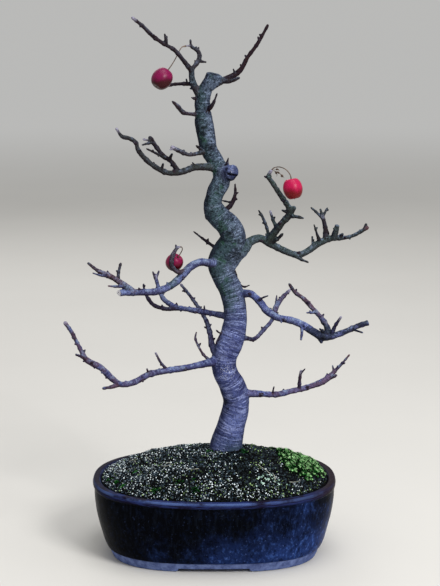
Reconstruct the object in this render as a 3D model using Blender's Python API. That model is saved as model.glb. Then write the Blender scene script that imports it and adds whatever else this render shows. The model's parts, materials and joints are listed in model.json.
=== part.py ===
"""Apple bonsai in winter: a bare, curving tree with three crabapples, in a low oval glazed pot.

Units are metres with +Z up, and the front of the tree faces -Y. The origin is the middle of the pot,
on the surface that it stands on. Sizes below are written in millimetres and turned into metres by MM.
"""

import math
import random

import bmesh
import bpy
from mathutils import Vector, noise
from mathutils.geometry import delaunay_2d_cdt

MM = 0.001
SEED = 7

# Clearance between neighbouring pieces
GAP = 0.3

# Pot: an oval of this length, width and height, drawn as rings of points
POT_LENGTH = 248.0
POT_WIDTH = 185.0
POT_HEIGHT = 77.0
POT_SIDES = 52

# The plan is an oval with fuller corners at the foot than at the rim
RIM_FULLNESS = 2.35
FOOT_FULLNESS = 2.75

# Pot section: how far each ring stands in from the rim's outer edge, and its height
FLOOR_HEIGHT = 14.0
RECESS_HEIGHT = 6.5
FOOT_SECTION = ((30.0, RECESS_HEIGHT), (28.0, 0.0), (20.0, 0.0), (19.0, 0.9), (15.6, 9.5))
WALL_SECTION = ((14.2, 10.3), (11.0, 17.0), (7.4, 30.0), (3.6, 45.0), (1.5, 62.0), (1.6, 70.0))
LIP_SECTION = ((0.3, 71.3), (0.0, 74.5), (1.6, POT_HEIGHT), (6.8, POT_HEIGHT))
INNER_SECTION = ((8.6, 75.0), (9.2, 58.0), (12.0, 36.0), (18.0, 20.0), (26.0, FLOOR_HEIGHT))

# Arches that leave four feet under the pot: half-width at the ground, at the top, and their height
FRONT_ARCH_HALF_WIDTH = 40.5
END_ARCH_HALF_WIDTH = 24.0
ARCH_SHOULDER = 5.5
ARCH_HEIGHT = 4.0
ARCH_STEPS = 4

# How far a cutter runs past the surface that it cuts
CUT_MARGIN = 1.0

# Drain holes, and the plastic screen that lies over each
DRAIN_HOLE_REACH = 48.0
DRAIN_HOLE_DIAMETER = 20.0
DRAIN_HOLE_SIDES = 16
SCREEN_MESH = 5.5
SCREEN_BAR = 2.0
SCREEN_HOLES = 3
SCREEN_THICKNESS = 1.0

# Soil: a broad low mound that swells a little round the foot of the tree
SOIL_EDGE_HEIGHT = 74.0
SOIL_FLOOR_HEIGHT = FLOOR_HEIGHT + SCREEN_THICKNESS + 2.0 * GAP
SOIL_CLEARANCE = 0.5
MOUND_RISE = 25.0
MOUND_STEEPNESS = 3.0
MOUND_TILT = 0.0004
SWELL_RISE = 8.0
SWELL_REACH = 24.0
GRAIN_SPACING = 5.1
GRAIN_RELIEF = 1.5
GRAIN_JITTER = 0.32
GRAIN_EDGE = 0.6
ROW_SHARE = math.sqrt(0.75)

# Foot of the trunk, in a plain round hole in the soil
FOOT_CENTRE = (12.0, 8.0)
FOOT_DIAMETER = 34.0
FOOT_SIDES = 18
FOOT_DEPTH_HEIGHT = 70.0
BURIED_HEIGHT = 96.0

# How finely the wood is drawn: the step between rings grows with the thickness
RING_STEP = 6.5
RING_STEP_GROWTH = 0.36
TRUNK_SIDES = 14
LIMB_SIDES = 7
TWIG_SIDES = 5
SPUR_SIDES = 5
LIMB_THICKNESS = 6.0
TWIG_THICKNESS = 3.4
BARK_LUMPS = 0.07
LUMP_LENGTH = 14.0

# A rounded end: the shoulder ring's share of the width, its reach and the tip's, in widths
BLUNT_END_THICKNESS = 2.6
SHOULDER_SHARE = 0.72
SHOULDER_REACH = 0.30
TIP_REACH = 0.52

# Points of a seam closer than this are made one
SEAM_MERGE = 0.002

# Small buds along the wood, alternating from side to side, with the ranges of their draws
BUD_LENGTH = 3.6
BUD_THICKNESS = 2.3
BUD_SINK = 1.2
BUD_SPACING = 19.0
BUD_MINIMUM_RUN = 34.0
BUD_THICKEST_WOOD = 9.0
BUD_SIDES = 4
BUD_ROOT_SHARE = 0.9
BUD_BELLY_AT = 0.4
BUD_TIP_SHARE = 0.35
BUD_SEAT = 0.42
BUD_FIRST = (0.9, 1.3)
BUD_NEXT = (0.8, 1.3)
BUD_ROLL = (-0.7, 0.7)
BUD_LIFT = (-0.3, 0.9)
BUD_LEAN = (0.5, 0.9)

# Every route is a row of stations: across, depth, height and thickness
TRUNK = (
    (12, 8, 104, 33), (17, 7, 126, 29.5), (22.5, 3, 153, 27), (18, -1, 171, 26), (11, -5, 188, 24.5),
    (10, -7, 202, 25.5), (16, -6, 217, 27), (21, -2, 233, 24), (21, 2, 250, 23), (17, 5, 267, 24),
    (10, 7, 282, 23), (6, 8, 296, 24), (13, 7, 309, 26), (19.5, 5, 320, 24.5), (15.5, 3, 332, 24.5),
    (4, 1, 344, 21.5), (-1, -1, 355, 18.5), (1, -2, 366, 17.5), (6, -2, 376, 17.5), (7.5, 0, 386, 17),
    (1, 2, 398, 15.5), (-5, 4, 409, 16.5), (-7, 6, 420, 17), (-9.5, 8, 434, 18), (-11, 9, 446, 16),
    (-11, 9, 457, 15), (-8, 8, 468, 13.5), (-3.5, 7, 476, 13.4), (-1.2, 6.5, 481.5, 12.4),
)

LOWER_LEFT = {
    "lower left limb": (
        (11, -7, 201, 13), (0, -13, 199, 10), (-11, -20, 198, 7), (-29, -28, 196, 6.5),
        (-48, -36, 195, 6), (-64, -43, 193, 6.5), (-77, -48, 187, 6), (-90, -51, 185, 5.5),
        (-99, -52, 191, 6), (-110, -49, 201, 6.3), (-125, -42, 208, 5.5), (-133, -32, 219, 3.8),
        (-141, -22, 231, 3.7), (-148, -12, 238, 4.2),
    ),
    "lower left bud": ((-64, -43, 193.5, 3.2), (-65.5, -46, 199.5, 1.8)),
    "lower left riser": ((-46, -35, 196, 3.4), (-52, -40, 204, 2.6), (-57, -44, 215, 2.2)),
    "lower left stub": ((-93, -51, 185, 5), (-100, -57, 184, 3.8), (-107, -62, 184, 2.6)),
    "lower left spur": ((-124, -43, 208, 4), (-130, -50, 213, 2.6), (-134, -54, 216, 1.8)),
    "lower left climber": (
        (-2, -14, 199, 3.8), (-10, -8, 204, 2.8), (-16, 0, 212, 2.6), (-19, 5, 219, 2.4),
        (-18, 8, 224, 1.6),
    ),
}

LOWER_RIGHT = {
    "lower right limb": (
        (22, 0, 164, 12), (33, -1, 163, 8.5), (46, 1, 162, 6.6), (63, 6, 160, 6), (79, 12, 162, 5.6),
        (94, 18, 164, 5.6), (109, 23, 168, 6.2), (118, 26, 173, 5.7), (124, 28, 179, 4),
        (132, 30, 187, 2.7), (139, 32, 195, 2),
    ),
    "lower right thin spur": ((59, 4, 161, 2.8), (60.5, 0, 169.5, 1.6)),
    "lower right riser": ((87, 15, 163, 3.8), (87, 10, 174, 3.4), (88, 7, 184, 3)),
    "lower right riser tip": ((87.5, 8, 181, 2.4), (92, 5, 187, 1.6)),
    "lower right spur": ((123, 28, 178, 2.8), (122, 31, 184, 1.5)),
    "lower right stub": ((117, 26, 171, 4.2), (125, 22, 176, 2.8)),
}

RIGHT_MIDDLE = {
    "right middle limb": (
        (18, 5, 262, 12), (29, 0, 265.5, 8.6), (37, -6, 266, 7.2), (45, -12, 260, 7), (52, -18, 252, 7.2),
        (63, -24, 246, 7), (77, -29, 244, 7), (88, -33, 240, 7.5), (98, -36, 234, 8),
        (107, -38, 230, 8.6), (117, -38, 231, 7), (129, -37, 235, 5.5), (141, -35, 240, 5.3),
        (151, -34, 243, 5.3),
    ),
    "right middle riser": (
        (111, -38, 231, 7.4), (111, -34, 238, 6), (105, -28, 247, 5), (98, -22, 254, 4.5),
        (89, -15, 263, 4.2), (80, -9, 269, 3.8), (75, -5, 276, 2.7),
    ),
    "right middle riser spur": ((101, -24, 251, 3.2), (91, -29, 252, 1.6)),
    "right middle finger": ((115, -38, 232, 4.6), (118, -44, 242, 3.5), (123, -50, 252, 2.6)),
    "right middle drop": ((86, -33, 241, 4.4), (86, -38, 235, 3), (85, -42, 228, 2.2)),
    "right middle root spur": ((43, -12, 260, 3.2), (48, -19, 265, 2.2), (53, -24, 268, 1.6)),
    "right middle tip spur": ((135, -36, 237, 3), (145, -43, 235, 1.6)),
    "right middle elbow spur": ((109, -38, 233, 3.6), (103, -44, 239, 2)),
    "right middle elbow": ((104, -37, 229, 7), (105, -39, 225, 4)),
}

BACK = {
    "back right limb": (
        (18, -2, 222, 8), (32, 9, 218, 5.3), (41, 19, 215, 4.4), (51, 32, 222, 4.2), (60, 44, 230, 4),
        (64, 55, 240, 5.4), (70, 63, 248, 5), (79, 70, 256, 3.2),
    ),
    "back right spur": ((64, 57, 242, 2.8), (65, 60, 252, 1.6)),
    "back left limb": (
        (6, -7, 200, 10), (-2, 8, 210, 6.7), (-4, 20, 219, 5.4), (-8, 34, 230, 4.5), (-16, 48, 241, 4),
        (-25, 62, 251, 3.5), (-35, 74, 261, 2.8),
    ),
    "left behind limb": (
        (18, 2, 241, 9), (7, 8, 242, 6.4), (-8, 17, 243, 5.8), (-25, 26, 244, 5.3), (-39, 34, 245, 5.1),
        (-51, 40, 251, 4.9), (-56, 43, 259, 4.3), (-59, 45, 269, 3.9), (-61, 45, 276, 3.9),
    ),
    "left behind prong": ((-61, 45, 273, 3), (-63, 43, 280, 1.7)),
    "left behind other prong": ((-60, 45.5, 272, 3.1), (-57, 48, 280, 1.7)),
    "left behind low finger": (
        (-35, 32, 244, 4.8), (-50, 35, 243, 4.3), (-62, 39, 246, 4.1), (-68, 43, 252, 3.9),
        (-72, 46, 260, 3.1), (-73, 48, 266, 2),
    ),
    "left behind bud": ((-10, 18, 244, 2.8), (-10, 15, 250, 1.6)),
}

LEFT_FRONT = {
    "left front limb": (
        (8, 6, 297, 12), (-3, -2, 297, 8.6), (-14, -10, 299, 7.6), (-24, -17, 295, 7.7),
        (-32, -23, 287, 7.7), (-42, -28, 279, 7.3), (-56, -33, 274, 7), (-72, -37, 274, 6.6),
        (-92, -41, 274, 6.2),
    ),
    "left front fork": (
        (-77, -38, 274, 6.4), (-86, -38, 280, 6.6), (-96, -37, 287, 5.4), (-104, -36, 291, 5.3),
        (-113, -35, 295, 3.8), (-122, -34, 302, 2.6),
    ),
    "left front low finger": ((-102, -36, 290, 3.6), (-109, -40, 291, 2.4), (-117, -43, 294, 1.5)),
    "left front red finger": ((-87, -38, 280, 4), (-96, -44, 281, 2.6), (-102, -47, 282, 1.5)),
    "left front riser": ((-93, -37, 284, 4), (-93, -33, 292, 3.5), (-91, -30, 301, 2.4)),
    "left front fruit twig": (
        (-26, -18, 293, 5), (-35, -26, 292, 4.4), (-41, -29, 298, 4.4), (-41, -30, 306, 4.4),
        (-38.7, -28, 312, 4), (-36, -25.6, 315.8, 2.9), (-33.5, -23.8, 316.6, 2.1),
    ),
}

RIGHT_UPPER = {
    "right upper limb": (
        (13, 7, 290, 15), (20, 6, 300, 13.5), (28, 6, 308, 12), (36, 7, 317, 9.4), (46, 9, 320, 8),
        (55, 11, 315, 7.6), (70, 14, 307, 6.8), (84, 17, 302, 6.4), (95, 19, 306, 6.7),
        (105, 21, 313, 7.1), (118, 22, 318, 6.1), (132, 21, 319, 4.2), (141, 18, 322, 3.8),
        (153, 14, 330, 4.2),
    ),
    "right upper tip bud": ((150, 15, 328, 3.2), (152, 15, 333, 2.2)),
    "right upper riser": (
        (53, 11, 316, 9.4), (61, 4, 328, 7.4), (67, -3, 337, 6.5), (75, -9, 348, 6.5),
        (72, -13, 356, 5.7), (64, -18, 368, 5.1), (57, -22, 379, 4.7), (53, -24, 385, 4.6),
        (54, -24.6, 389, 3.6), (55.8, -25.3, 391.6, 2.8),
    ),
    "right upper inner twig": (
        (55, 11, 318, 4.6), (53, 16, 329, 3.4), (49, 20, 339, 2.8), (45, 23, 346, 1.7),
    ),
    "right upper riser twig": ((63, 1, 331, 4.8), (59, 6, 338, 3.4), (56, 10, 347, 2.6)),
    "right upper riser bud": ((74, -8.5, 348, 4.2), (67, -12, 351, 2.2)),
    "right upper riser knob": ((74.5, -7.5, 346.5, 6), (78, -12, 353, 5.5)),
    "right upper riser spur": ((73.5, -7, 344.5, 5), (80, -13, 345, 3.7), (87, -17, 344, 2.2)),
    "right upper front spur": ((57, 11, 315, 4.8), (64, 4, 321, 3.6), (68, -1, 326, 2.2)),
    "right upper dead twig": ((78, 16, 304, 4.6), (86, 11, 299, 3.2), (94, 8, 296, 1.8)),
    "right upper thin bud": ((100, 20, 309, 3.6), (99, 26, 319, 2)),
    "right upper thin twig": ((107, 21, 314, 4.2), (104, 17, 321, 3), (100, 13, 333, 1.8)),
    "right upper trident": ((113, 22, 316, 8), (113, 27, 323, 6), (112, 33, 330, 4.5), (110, 38, 339, 4.2)),
    "right upper trident left": ((110.5, 36, 336, 3.6), (104, 42, 342, 2.7), (99, 46, 346, 1.8)),
    "right upper trident middle": ((110, 37.5, 337.5, 3.4), (108, 39, 345, 2.4)),
    "right upper trident right": ((110, 36.5, 338, 3.3), (115, 42, 346, 1.8)),
    "right upper cut stub": ((120, 22, 317, 7.2), (122, 19, 325, 5.9), (123.5, 17, 332, 5)),
    "right upper side bud": ((126, 22, 318, 4.6), (129, 18, 323, 2.6)),
}

LEFT_UPPER = {
    "left upper limb": (
        (5, 1, 392, 11), (-8, -5, 393, 7.4), (-19, -11, 393, 6.4), (-33, -17, 389, 5.8),
        (-45, -22, 389, 5.6), (-58, -26, 396, 5), (-67, -28, 404, 4.6), (-73, -29, 412, 4.6),
        (-75, -30, 419, 4.3), (-81, -31, 423, 4), (-88, -32, 425, 3.6), (-93, -32, 432, 2.1),
    ),
    "left upper fork": (
        (-35, -17, 390, 5.6), (-42, -10, 399, 4.7), (-50, -3, 404, 4.3), (-57, 4, 412, 4.5),
        (-63, 10, 420, 4.3),
    ),
    "left upper long finger": ((-47, -6, 401, 3.6), (-56, -14, 407, 2.6), (-65, -20, 412, 1.5)),
    "left upper pale finger": ((-61, 8, 417, 3.2), (-69, 5, 419, 1.9)),
    "left upper low finger": ((-60, 7, 416, 3.2), (-66, 3, 415, 2.6), (-70, 0, 414, 1.9)),
    "left upper bud": ((-44, -8, 400, 4), (-41, -12, 406, 2.4)),
    "left upper outer bud": ((-51, -24, 391, 3.7), (-49, -28, 398, 2.3)),
    "left upper thin bud": ((-17, -10, 393, 2.8), (-21, -13, 398, 1.5)),
    "left clubbed twig": (
        (-6, 3, 408, 6), (-18, -9, 406, 3.8), (-25, -16, 406, 3.5), (-33, -22, 410, 4.6),
        (-40, -27, 414, 4.4),
    ),
    "left clubbed finger": ((-38, -26, 413, 2.6), (-42, -29, 412, 1.6)),
    "left clubbed bud": ((-12, -2, 409, 3.8), (-17, -10, 414, 2)),
}

TRUNK_TWIGS = {
    "wound knob": ((4, 1, 385, 15), (13, -8, 387, 15), (18.6, -13.5, 387.6, 15.6)),
    "wound twig": ((11, -5, 391, 3.6), (13, -8, 398, 2.6), (14, -10, 402, 1.7)),
    "right slim twig": (
        (1, 0, 350, 7.5), (12, 6, 350, 5), (18, 11, 355, 4.4), (21, 16, 364, 3.4), (21, 20, 373, 2.2),
    ),
    "right slim spur": ((17, 11, 356, 2.8), (8, 16, 357, 1.6)),
    "left slim twig": ((10, 7, 306, 5.4), (-2, 15, 312, 3.6), (-12, 23, 318, 2.8), (-21, 30, 324, 1.6)),
    "hooked twig": (
        (13, 9, 296, 7), (21, 18, 283, 3.8), (23.5, 23, 273.5, 3), (30, 27, 267.5, 2.5),
        (36, 30, 268.5, 1.6),
    ),
    "front hook": ((14, -3, 224, 3.4), (6, -13, 228, 2.2), (2, -18, 232, 1.6)),
    "front spur": ((12, -4, 222, 4.2), (4, -14, 222, 2.4), (2, -18, 217, 1.7)),
    "upper left twig": (
        (-12, 9, 443, 5.6), (-22, 2, 444, 3.8), (-30, -4, 446, 4.6), (-35, -8, 452, 4.6),
        (-40, -12, 457, 2.3),
    ),
    "upper front twig": ((-7, 6, 446, 5), (-1, -2, 454, 3.5), (3, -6, 464, 1.7)),
    "upper left bud": ((-14, 8, 457, 4.4), (-22, 3, 460, 1.9)),
    "scarred bump": ((-4, 4, 344, 12), (-7, -1, 347, 6)),
}

CROWN = {
    "left leader": ((-10, 9, 458, 11), (-17, 7, 467, 7.5), (-21, 4, 476, 6.1), (-22, 1, 488, 5.2)),
    "left leader arm": (
        (-22, 1, 486, 5.2), (-28, -2, 494, 4.4), (-38, -7, 506, 3.9), (-48, -11, 512, 4),
        (-58, -15, 519, 3.8), (-68, -19, 529, 3.7), (-77, -23, 536.4, 3.3),
    ),
    "left leader spur": ((-46, -10, 511, 4), (-46, -13, 517, 3.3), (-47, -15, 521, 1.7)),
    "left leader other spur": ((-46, -11, 513, 2.8), (-45, -9, 519, 1.6)),
    "middle arm": (
        (-22, 1, 487, 5), (-16, 5, 494, 4.7), (-14, 9, 500, 4.3), (-16, 11, 505, 4.1),
        (-22, 12, 509, 3.3), (-23, 12, 515, 1.7),
    ),
    "middle arm spur": ((-15, 6, 495, 3.4), (-8, 10, 494, 2)),
    "middle arm bud": ((-16, 10, 504, 3.2), (-15, 14, 508, 2)),
    "middle arm fruit spur": ((-20, 12, 508, 2.9), (-24, 10.8, 509.6, 2.1), (-27, 9.5, 509.6, 1.9)),
    "left short twig": ((-20, 5, 473, 5), (-31, 10, 473, 3.6), (-41, 15, 472, 3.3), (-46, 18, 470, 2.1)),
    "left short bud": ((-26, 7, 473, 3), (-27, 4, 478, 1.6)),
    "right leader": (
        (-5, 7, 471, 11), (5, 11, 475, 7.8), (16, 15, 479, 6), (26, 19, 486, 4.9), (33, 23, 498, 4),
        (42, 27, 510, 3.8), (48, 30, 520, 3.3), (53, 32, 529, 2.8),
    ),
    "right leader stub": ((7, 11, 475, 5.2), (17, 6, 476, 3.8), (24, 2, 479, 3.2)),
    "right leader bud": ((21, 17, 482, 3.2), (19, 14, 487, 1.6)),
}

LIMB_GROUPS = (
    LOWER_LEFT, LOWER_RIGHT, RIGHT_MIDDLE, BACK, LEFT_FRONT, RIGHT_UPPER, LEFT_UPPER, TRUNK_TWIGS, CROWN,
)

# Wood that was sawn or nipped off, and the fruit spurs, end flat; every other end is rounded
CUT_ENDS = {
    "left front limb", "right middle limb", "right upper cut stub", "left front fruit twig",
    "right upper riser", "middle arm fruit spur",
}

# Crabapples: the twig that each hangs from, the stalk's way down, and the fruit's middle and measures
STALK_THICKNESS = 1.3
STALK_CLUB = 1.9
STALK_SIDES = 6
STALK_STEP = 3.0
FRUITS = {
    "top": {
        "twig": CROWN["middle arm fruit spur"],
        "way": ((-31.5, 7.2, 508.2), (-36, 1, 500), (-40, -6.5, 493)),
        "middle": (-50, -13, 479),
        "diameter": 19.7,
        "tallness": 1.13,
    },
    "right": {
        "twig": RIGHT_UPPER["right upper riser"],
        "way": ((58.2, -26.2, 394.3), (63.5, -27.8, 395.2), (69.3, -30, 393), (73.6, -32, 387.8)),
        "middle": (76, -34, 375),
        "diameter": 18.8,
        "tallness": 1.17,
    },
    "left": {
        "twig": LEFT_FRONT["left front fruit twig"],
        "way": ((-31.6, -22.4, 316.2), (-31, -21.2, 313.6), (-32.6, -19.8, 310)),
        "middle": (-39, -16, 300),
        "diameter": 17.2,
        "tallness": 1.03,
    },
}
FRUIT_SIDES = 20
FRUIT_RINGS = 9
FRUIT_FULLNESS = 0.9
STALK_DIMPLE = 0.28
STALK_DIMPLE_WIDTH = 0.36
CALYX_DIMPLE = 0.14
CALYX_DIMPLE_WIDTH = 0.34


def clear_scene():
    """Removes whatever the scene holds."""
    for item in list(bpy.data.objects):
        bpy.data.objects.remove(item, do_unlink=True)


def finish(name, colour, roughness):
    """A plain material of one colour."""
    material = bpy.data.materials.new(name)
    material.use_nodes = True
    shader = material.node_tree.nodes["Principled BSDF"]
    shader.inputs["Base Color"].default_value = (*colour, 1.0)
    shader.inputs["Roughness"].default_value = roughness
    shader.inputs["Metallic"].default_value = 0.0
    return material


def glaze():
    """Deep blue stoneware glaze."""
    return finish("navy_glaze", (0.012, 0.018, 0.060), 0.28)


def bark():
    """Grey, faintly violet bark."""
    return finish("bark", (0.19, 0.18, 0.21), 0.78)


def potting_mix():
    """Dark, gritty potting mix."""
    return finish("potting_mix", (0.030, 0.030, 0.032), 0.95)


def fruit_skin():
    """Deep crimson skin with a soft sheen."""
    return finish("fruit_skin", (0.24, 0.008, 0.030), 0.32)


def fruit_stalk():
    """Thin brown stalk."""
    return finish("fruit_stalk", (0.075, 0.050, 0.035), 0.70)


def screen_plastic():
    """Dark plastic net."""
    return finish("screen_plastic", (0.020, 0.022, 0.020), 0.60)


def add_object(name, mesh, material, smooth_angle=40.0):
    """Puts a mesh in the scene as a named object with its material, shaded smooth."""
    item = bpy.data.objects.new(name, mesh)
    bpy.context.scene.collection.objects.link(item)
    mesh.materials.clear()
    mesh.materials.append(material)
    mesh.shade_smooth()
    mesh.set_sharp_from_angle(angle=math.radians(smooth_angle))
    return item


def mesh_from(bm, name):
    """Turns a bmesh into a mesh with its faces pointing out."""
    bmesh.ops.recalc_face_normals(bm, faces=bm.faces)
    mesh = bpy.data.meshes.new(name)
    bm.to_mesh(mesh)
    bm.free()
    return mesh


def apply_modifiers(item):
    """Replaces an object's mesh by the one that its modifiers make."""
    graph = bpy.context.evaluated_depsgraph_get()
    finished = bpy.data.meshes.new_from_object(item.evaluated_get(graph))
    item.modifiers.clear()
    item.data = finished


def boolean(item, name, operation, tool):
    """Joins or cuts an object by every object in a collection, then removes the collection's objects."""
    modifier = item.modifiers.new(name, "BOOLEAN")
    modifier.operation = operation
    modifier.operand_type = "COLLECTION"
    modifier.collection = tool
    modifier.solver = "EXACT"
    apply_modifiers(item)
    for part in list(tool.objects):
        bpy.data.objects.remove(part, do_unlink=True)
    bpy.data.collections.remove(tool)


def merge_seams(item):
    """Merges the points that a union leaves almost on top of each other along its seams."""
    bm = bmesh.new()
    bm.from_mesh(item.data)
    bmesh.ops.triangulate(bm, faces=bm.faces)
    bmesh.ops.remove_doubles(bm, verts=bm.verts, dist=SEAM_MERGE * MM)
    bm.to_mesh(item.data)
    bm.free()


def new_collection(name):
    """An empty collection linked to the scene."""
    collection = bpy.data.collections.new(name)
    bpy.context.scene.collection.children.link(collection)
    return collection


def skin_rings(bm, rings, tip=None):
    """Joins closed rings of points, one after another, and closes both ends.

    The last end is closed by a flat face, or by a fan to the tip where one is given.
    """
    loops = []
    for ring in rings:
        loops.append([bm.verts.new(point) for point in ring])
    for near, far in zip(loops, loops[1:]):
        for i in range(len(near)):
            j = (i + 1) % len(near)
            bm.faces.new((near[i], near[j], far[j], far[i]))
    bm.faces.new(list(reversed(loops[0])))
    if tip is None:
        bm.faces.new(loops[-1])
        return
    apex = bm.verts.new(tip)
    for i in range(len(loops[-1])):
        j = (i + 1) % len(loops[-1])
        bm.faces.new((loops[-1][i], loops[-1][j], apex))


def oval_point(angle, inset, height):
    """A point of the pot's oval, at an angle, a distance in from the rim and a height."""
    share = min(max(height / POT_HEIGHT, 0.0), 1.0)
    power = 2.0 / (FOOT_FULLNESS + (RIM_FULLNESS - FOOT_FULLNESS) * share)
    across = math.copysign(abs(math.cos(angle)) ** power, math.cos(angle))
    deep = math.copysign(abs(math.sin(angle)) ** power, math.sin(angle))
    return Vector((
        (POT_LENGTH / 2.0 - inset) * across * MM,
        (POT_WIDTH / 2.0 - inset) * deep * MM,
        height * MM,
    ))


def oval_ring(inset, height):
    """The ring of points of the pot's oval at one step of its section."""
    return [oval_point(math.tau * i / POT_SIDES, inset, height) for i in range(POT_SIDES)]


def prism(name, outline, start, end):
    """A closed body between two copies of an outline, moved to the start and to the end."""
    bm = bmesh.new()
    skin_rings(bm, [[point + start for point in outline], [point + end for point in outline]])
    return bpy.data.objects.new(name, mesh_from(bm, name))


def arch_outline(half_width, along_x):
    """Outline of the space under the pot between two feet, with sloping rounded ends."""
    side = [(half_width + CUT_MARGIN, -CUT_MARGIN)]
    for step in range(ARCH_STEPS + 1):
        turn = math.pi / 2.0 * step / ARCH_STEPS
        side.append((half_width - ARCH_SHOULDER * math.sin(turn), ARCH_HEIGHT * (1.0 - math.cos(turn))))
    outline = side + [(-x, z) for x, z in reversed(side)]
    if along_x:
        return [Vector((0.0, x, z)) * MM for x, z in outline]
    return [Vector((x, 0.0, z)) * MM for x, z in outline]


def build_pot():
    """Oval pot with a small rolled lip, an unglazed foot ring cut into four feet, and two drain holes."""
    section = FOOT_SECTION + WALL_SECTION + LIP_SECTION + INNER_SECTION
    bm = bmesh.new()
    skin_rings(bm, [oval_ring(inset, height) for inset, height in section])
    pot = add_object("pot", mesh_from(bm, "pot"), glaze())
    cutters = new_collection("pot cutters")
    reach = Vector((POT_LENGTH, POT_WIDTH, 0.0)) * MM
    cutters.objects.link(prism("front arch", arch_outline(FRONT_ARCH_HALF_WIDTH, False),
                               Vector((0.0, -reach.y, 0.0)), Vector((0.0, reach.y, 0.0))))
    cutters.objects.link(prism("end arch", arch_outline(END_ARCH_HALF_WIDTH, True),
                               Vector((-reach.x, 0.0, 0.0)), Vector((reach.x, 0.0, 0.0))))
    radius = DRAIN_HOLE_DIAMETER / 2.0
    for side in (-1.0, 1.0):
        hole = [
            Vector((
                side * DRAIN_HOLE_REACH + radius * math.cos(math.tau * i / DRAIN_HOLE_SIDES),
                radius * math.sin(math.tau * i / DRAIN_HOLE_SIDES),
                0.0,
            )) * MM
            for i in range(DRAIN_HOLE_SIDES)
        ]
        bottom = Vector((0.0, 0.0, (RECESS_HEIGHT - CUT_MARGIN) * MM))
        top = Vector((0.0, 0.0, (FLOOR_HEIGHT + CUT_MARGIN) * MM))
        cutters.objects.link(prism("drain hole", hole, bottom, top))
    boolean(pot, "feet and drain holes", "DIFFERENCE", cutters)


def build_screen(name, side):
    """Square net of plastic over one drain hole, inside the pot."""
    lines = [0.0]
    for _ in range(SCREEN_HOLES):
        lines.append(lines[-1] + SCREEN_BAR)
        lines.append(lines[-1] + SCREEN_MESH)
    lines.append(lines[-1] + SCREEN_BAR)
    half = lines[-1] / 2.0
    bm = bmesh.new()
    height = FLOOR_HEIGHT + GAP
    grid = [
        [bm.verts.new(Vector((x - half + side * DRAIN_HOLE_REACH, y - half, height)) * MM) for x in lines]
        for y in lines
    ]
    for row in range(len(lines) - 1):
        for column in range(len(lines) - 1):
            if row % 2 and column % 2:
                continue
            near, far = grid[row], grid[row + 1]
            bm.faces.new((near[column], near[column + 1], far[column + 1], far[column]))
    lifted = bmesh.ops.extrude_face_region(bm, geom=bm.faces[:], use_keep_orig=True)
    raised = [part for part in lifted["geom"] if isinstance(part, bmesh.types.BMVert)]
    bmesh.ops.translate(bm, verts=raised, vec=Vector((0.0, 0.0, SCREEN_THICKNESS * MM)))
    add_object(name, mesh_from(bm, name), screen_plastic())


def oval_share(x, y, inset):
    """How far out a point lies in the oval: 0 at the middle, 1 at the soil's edge."""
    across = abs(x) / (POT_LENGTH / 2.0 - inset)
    deep = abs(y) / (POT_WIDTH / 2.0 - inset)
    return (across ** RIM_FULLNESS + deep ** RIM_FULLNESS) ** (1.0 / RIM_FULLNESS)


def soil_height(x, y, inset):
    """Height of the mound, without its grains."""
    share = min(oval_share(x, y, inset), 1.0)
    mound = MOUND_RISE * (1.0 - share ** MOUND_STEEPNESS) * (1.0 + MOUND_TILT * x)
    distance = math.hypot(x - FOOT_CENTRE[0], y - FOOT_CENTRE[1])
    swell = SWELL_RISE * math.exp(-(distance / SWELL_REACH) ** 2)
    return SOIL_EDGE_HEIGHT + mound + swell


def foot_ring(clearance, height):
    """Points round the foot of the trunk, a clearance away from it."""
    radius = FOOT_DIAMETER / 2.0 + clearance
    return [
        Vector((
            FOOT_CENTRE[0] + radius * math.cos(math.tau * i / FOOT_SIDES),
            FOOT_CENTRE[1] + radius * math.sin(math.tau * i / FOOT_SIDES),
            height,
        )) * MM
        for i in range(FOOT_SIDES)
    ]


def grain_places(inset):
    """Places of the grains over the mound: a jittered hexagonal pattern clear of the edge and the trunk."""
    draw = random.Random(SEED)
    places = []
    rows = int(POT_WIDTH / (GRAIN_SPACING * ROW_SHARE)) + 1
    columns = int(POT_LENGTH / GRAIN_SPACING) + 1
    for row in range(-rows // 2, rows // 2 + 1):
        for column in range(-columns // 2, columns // 2 + 1):
            x = (column + 0.5 * (row % 2)) * GRAIN_SPACING
            y = row * GRAIN_SPACING * ROW_SHARE
            x += draw.uniform(-GRAIN_JITTER, GRAIN_JITTER) * GRAIN_SPACING
            y += draw.uniform(-GRAIN_JITTER, GRAIN_JITTER) * GRAIN_SPACING
            lift = draw.uniform(-GRAIN_RELIEF, GRAIN_RELIEF)
            distance = math.hypot(x - FOOT_CENTRE[0], y - FOOT_CENTRE[1])
            clear_of_trunk = distance > FOOT_DIAMETER / 2.0 + GRAIN_EDGE * GRAIN_SPACING
            if oval_share(x, y, inset + GRAIN_EDGE * GRAIN_SPACING) < 1.0 and clear_of_trunk:
                places.append((x, y, lift))
    return places


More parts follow.
